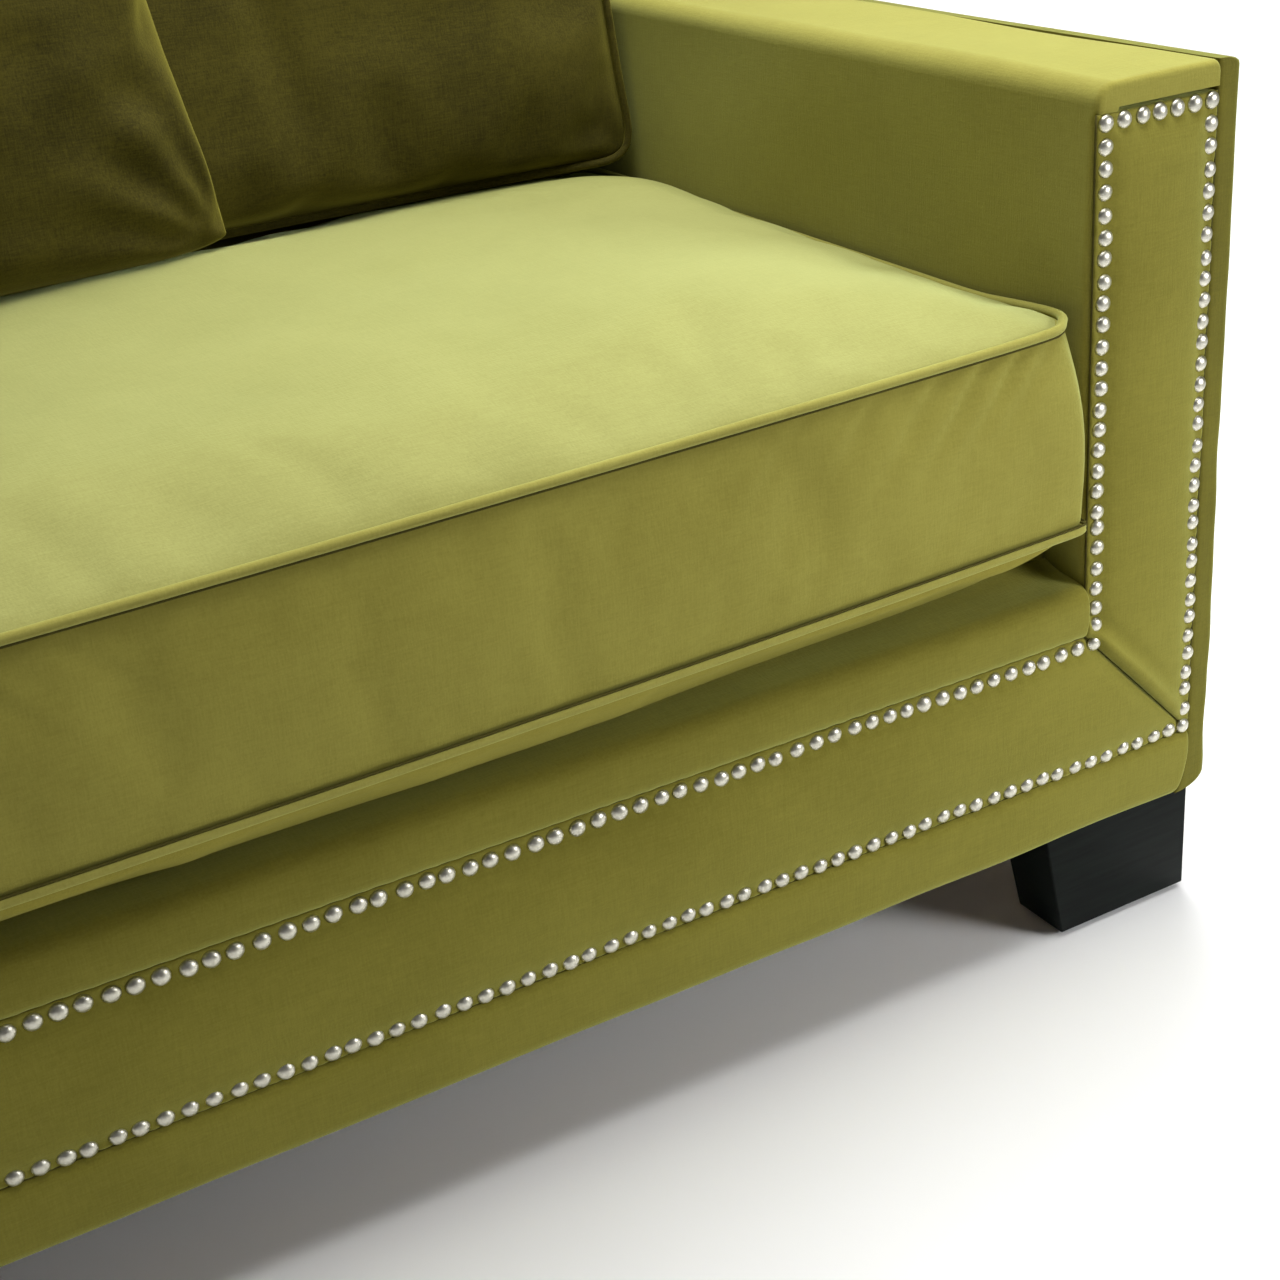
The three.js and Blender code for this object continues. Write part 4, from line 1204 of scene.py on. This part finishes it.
def back_cushion(where, side):
    """A softer piped cushion that leans on the back, fuller towards its foot."""
    low, high = corners(f"back_cushion_{where}")
    centre_a = (low[0] + high[0]) / 2
    foot = low[2] - 12.0
    half_a = (high[0] - low[0]) / 2 - 5
    half_b = (high[2] - foot) / 2 - 6
    depth = back_face(foot) - 1 - low[1] + 3
    cushion = BoxCushion(half_a, half_b)
    u, v = cushion.u, cushion.v
    rear_seam = (depth - BACK_BOXING) * 0.42
    plan = cushion.plan(30)
    a = plan[..., 0] * (1 - 0.012 * (1 - np.abs(v) ** 2)) * (1 + 0.006 * np.abs(v) ** 8)
    b = plan[..., 1] * (1 - 0.018 * crown(u, 2)) - 4.0 * crown(u, 2) * (v > 0) * np.abs(v)
    fullness = (crown(u, 2.6) * crown(v, np.where(v < 0, 14.0, 2.6))) ** 0.75
    top = stack(a, b, rear_seam + BACK_BOXING + (depth - BACK_BOXING - rear_seam) * fullness)
    inside = crown(u, 12) * crown(v, 12)
    unevenness = 3.0 * ripple(top[..., :2], 230, 101 + side) + 1.2 * ripple(top[..., :2], 80, 103 + side)
    top[..., 2] += unevenness * inside
    bottom = stack(a, b, np.maximum(rear_seam - 50 * (crown(u, 5) * crown(v, 5)) ** 0.7, 1.0))
    edge_v = v.ravel()[cushion.loop]

    def boxing(t, top_loop, bottom_loop):
        row = top_loop + (bottom_loop - top_loop) * t
        at_foot = smoothstep(-0.98, -1, edge_v)
        swell = 5.0 * math.sin(math.pi * t) ** 0.8 * (1 - 0.9 * at_foot)
        gathers = ripple(row, 34, 105 + side) * 0.9 * (math.exp(-t / 0.16) + math.exp(-(1 - t) / 0.16))
        return row + outward(row) * (swell + gathers * (1 - at_foot))[:, None]

    vertices, faces = cushion.build(top, bottom, boxing)
    piping = [vertices[loop] + outward(vertices[loop]) * 1.2 for loop in cushion.seams]

    def to_sofa(points):
        height = foot + 2 + half_b + points[:, 1]
        return stack(centre_a + points[:, 0], back_face(height) - 1.5 - points[:, 2], height)

    # The cover and its piping take the much darker pillow velvet: painted shade on the back cushion.
    made = mesh_object(f"back_cushion_cover_{where}", to_sofa(vertices), faces, SHADED_PILLOW_VELVET)
    relax_with_cloth(made, np.concatenate(cushion.seams + cushion.beside_seams), 0.3, 0.012, 16, 9.0)
    press_seams(made, cushion, vertices, to_sofa)
    subdivide(made)
    body = f"back_cushion_{where}"
    place(made, body, "velvet", f"back_cushion_{where}", fill=0.7)
    for name, ring in zip(("front", "rear"), piping):
        title = f"back_piping_{name}_{where}"
        sewn_cord(title, to_sofa(ring), (0, 1, 0), SHADED_PILLOW_VELVET, body, 110)


PILLOW_LEAN = math.radians(9)
PILLOW_TWIST = math.radians(1.5)
PILLOW_CELLS = 44
PILLOW_LENS = 54.0
PILLOW_EARS = 0.085
FOLDS = 15
FOLD_DEPTH = 0.75
FOLD_REACH = 34


def puckered(points, half):
    """Folds that run from each corner of a pillow into its middle, and a few softer ones across it."""
    out = points.copy()
    face = np.sign(points[:, 2]) * np.clip(np.abs(points[:, 2]) / 8, 0, 1)
    for corner_a in (-1, 1):
        for corner_b in (-1, 1):
            gap = points[:, :2] - np.array([corner_a, corner_b]) * half
            distance = np.linalg.norm(gap, axis=1)
            angle = np.arctan2(np.abs(gap[:, 1]), np.abs(gap[:, 0]))
            fold = np.sin(angle * FOLDS + corner_a + 2 * corner_b) * distance * np.exp(-distance / FOLD_REACH)
            out[:, 2] += FOLD_DEPTH * fold * face
    out[:, 2] += 2.6 * ripple(points[:, :2] * np.array([0.7, 1.3]), 78, 127) * face
    return out


def pillow_blank(size, seed):
    """Vertices and faces of two squares sewn together, already a little full."""
    t = np.linspace(-1, 1, PILLOW_CELLS + 1)
    u, v = np.meshgrid(t, t)
    half = size / 2 * 1.05
    blunt = 1 - 0.055 * (np.abs(u) * np.abs(v)) ** 7
    a = half * u * blunt * (1 - PILLOW_EARS * np.maximum(1 - v**2, 0) ** 0.6 * np.abs(u) ** 2)
    b = half * v * blunt * (1 - np.where(v < 0, 0.012, PILLOW_EARS) * (1 - u**2) * np.abs(v) ** 2)
    lens = PILLOW_LENS * (crown(u, 2.0) * crown(v, np.where(v < 0, 5.0, 2.0))) ** 0.45
    crumple = 2.5 * ripple(stack(a, b), 90, seed) * crown(u, 8) * crown(v, 8)
    front = stack(a, b, lens + crumple).reshape(-1, 3)
    rear = stack(a, b, -lens + crumple).reshape(-1, 3)
    index = np.arange(u.size).reshape(u.shape)
    rim = np.zeros(u.shape, bool)
    rim[[0, -1], :] = True
    rim[:, [0, -1]] = True
    quads = []
    for grid, turn in ((index, 1), (np.where(rim, index, index + u.size), -1)):
        quad = stack(grid[:-1, :-1], grid[:-1, 1:], grid[1:, 1:], grid[1:, :-1]).reshape(-1, 4)
        quads.append(quad[:, ::turn])
    used, faces = np.unique(np.concatenate(quads), return_inverse=True)
    return np.vstack([front, rear])[used], faces.reshape(-1, 4)


def throw_pillow(where, side):
    """A knife-edged feather pillow, blown up by the cloth solver and leant on the back cushion."""
    low, high = corners(f"throw_pillow_{where}")
    size = high[0] - low[0]
    # The pillow takes the much darker pillow velvet: painted shade.
    made = mesh_object(f"throw_pillow_cover_{where}", *pillow_blank(size, 121 + side), SHADED_PILLOW_VELVET)
    relax_with_cloth(made, [], 1.0, 0.02, 20, 24.0)
    points = np.array([v.co for v in made.data.vertices]) / MM
    points -= (points.max(0) + points.min(0)) / 2
    thick = high[1] - low[1] - size * math.sin(PILLOW_LEAN) * 0.5
    points *= np.array([size, size, thick]) / np.ptp(points, axis=0)
    points = puckered(points, size / 2)
    rotate = (Matrix.Rotation(-PILLOW_LEAN, 3, "X") @ Matrix.Rotation(math.pi / 2, 3, "X")
              @ Matrix.Rotation(PILLOW_TWIST * side, 3, "Z"))
    points = points @ np.array(rotate).T
    points += np.array([(low[0] + high[0]) / 2, (low[1] + high[1]) / 2, 0])
    points[:, 2] += low[2] - 2 - points[:, 2].min()
    made.data.vertices.foreach_set("co", (points * MM).ravel())
    made.data.update()
    subdivide(made)
    place(made, f"throw_pillow_{where}", "velvet", f"throw_pillow_{where}", fill=0.6)


for where, side in SIDES.items():
    seat_cushion(where, side)
    back_cushion(where, side)
    throw_pillow(where, side)


# ---------------- stage, light and camera
FLOOR_REACH = 30.0


def floor():
    mesh = bpy.data.meshes.new("floor")
    places = [(FLOOR_REACH * x, FLOOR_REACH * y, 0) for x, y in ((-1, -1), (1, -1), (1, 1), (-1, 1))]
    mesh.from_pydata(places, [], [(0, 1, 2, 3)])
    mesh.materials.append(pale_floor())
    linked("floor", mesh)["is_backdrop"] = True


def area_light(name, position, target, size, power, spread=180):
    """A soft light, in metres and watts, that faces its target."""
    light = bpy.data.lights.new(name, "AREA")
    light.shape = "RECTANGLE"
    light.size, light.size_y = size
    light.energy = power
    light.spread = math.radians(spread)
    made = linked(name, light)
    made.location = position
    made.rotation_euler = (Vector(target) - Vector(position)).to_track_quat("-Z", "Y").to_euler()


def studio():
    world = bpy.data.worlds.new("studio")
    world.use_nodes = True
    background = world.node_tree.nodes["Background"]
    background.inputs["Color"].default_value = (1, 1, 1, 1)
    background.inputs["Strength"].default_value = 0.08
    bpy.context.scene.world = world
    bpy.context.scene.view_settings.view_transform = "Standard"
    area_light("overhead", (1.0, -0.2, 2.35), (0.8, -0.15, 0.4), (1.7, 1.3), 66)
    area_light("rear_wash", (2.4, 3.0, 2.8), (2.6, 3.2, 0.0), (3.0, 3.0), 170)
    area_light("front_right", (1.9, -1.7, 0.9), (1.0, -0.4, 0.3), (0.6, 0.6), 2.6, spread=60)


def camera():
    """Looks down at the lower right corner of the sofa, from a place given from its inner corner nail."""
    corner = Vector((NAIL_IN_X, FRONT, NAIL_IN_Z)) * MM
    position = corner + Vector((-0.8807, -0.9861, 0.6515))
    yaw, pitch, bank = math.radians(27.67), math.radians(25.75), math.radians(-4.74)
    ahead = Vector((math.sin(yaw) * math.cos(pitch), math.cos(yaw) * math.cos(pitch), -math.sin(pitch)))
    level = Vector((math.cos(yaw), -math.sin(yaw), 0))
    above = level.cross(ahead)
    right = math.cos(bank) * level + math.sin(bank) * above
    up = -math.sin(bank) * level + math.cos(bank) * above
    data = bpy.data.cameras.new("camera")
    data.sensor_width = 36
    data.lens = 56.73
    data.clip_start = 0.05
    made = linked("camera", data)
    made.matrix_world = Matrix((
        (right.x, up.x, -ahead.x, position.x),
        (right.y, up.y, -ahead.y, position.y),
        (right.z, up.z, -ahead.z, position.z),
        (0, 0, 0, 1),
    ))
    bpy.context.scene.camera = made


floor()
studio()
camera()

boxes = {"cad": cad_box, "visual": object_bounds()}
{name: [list(map(float, corner)) for corner in pair] for name, pair in boxes.items()}
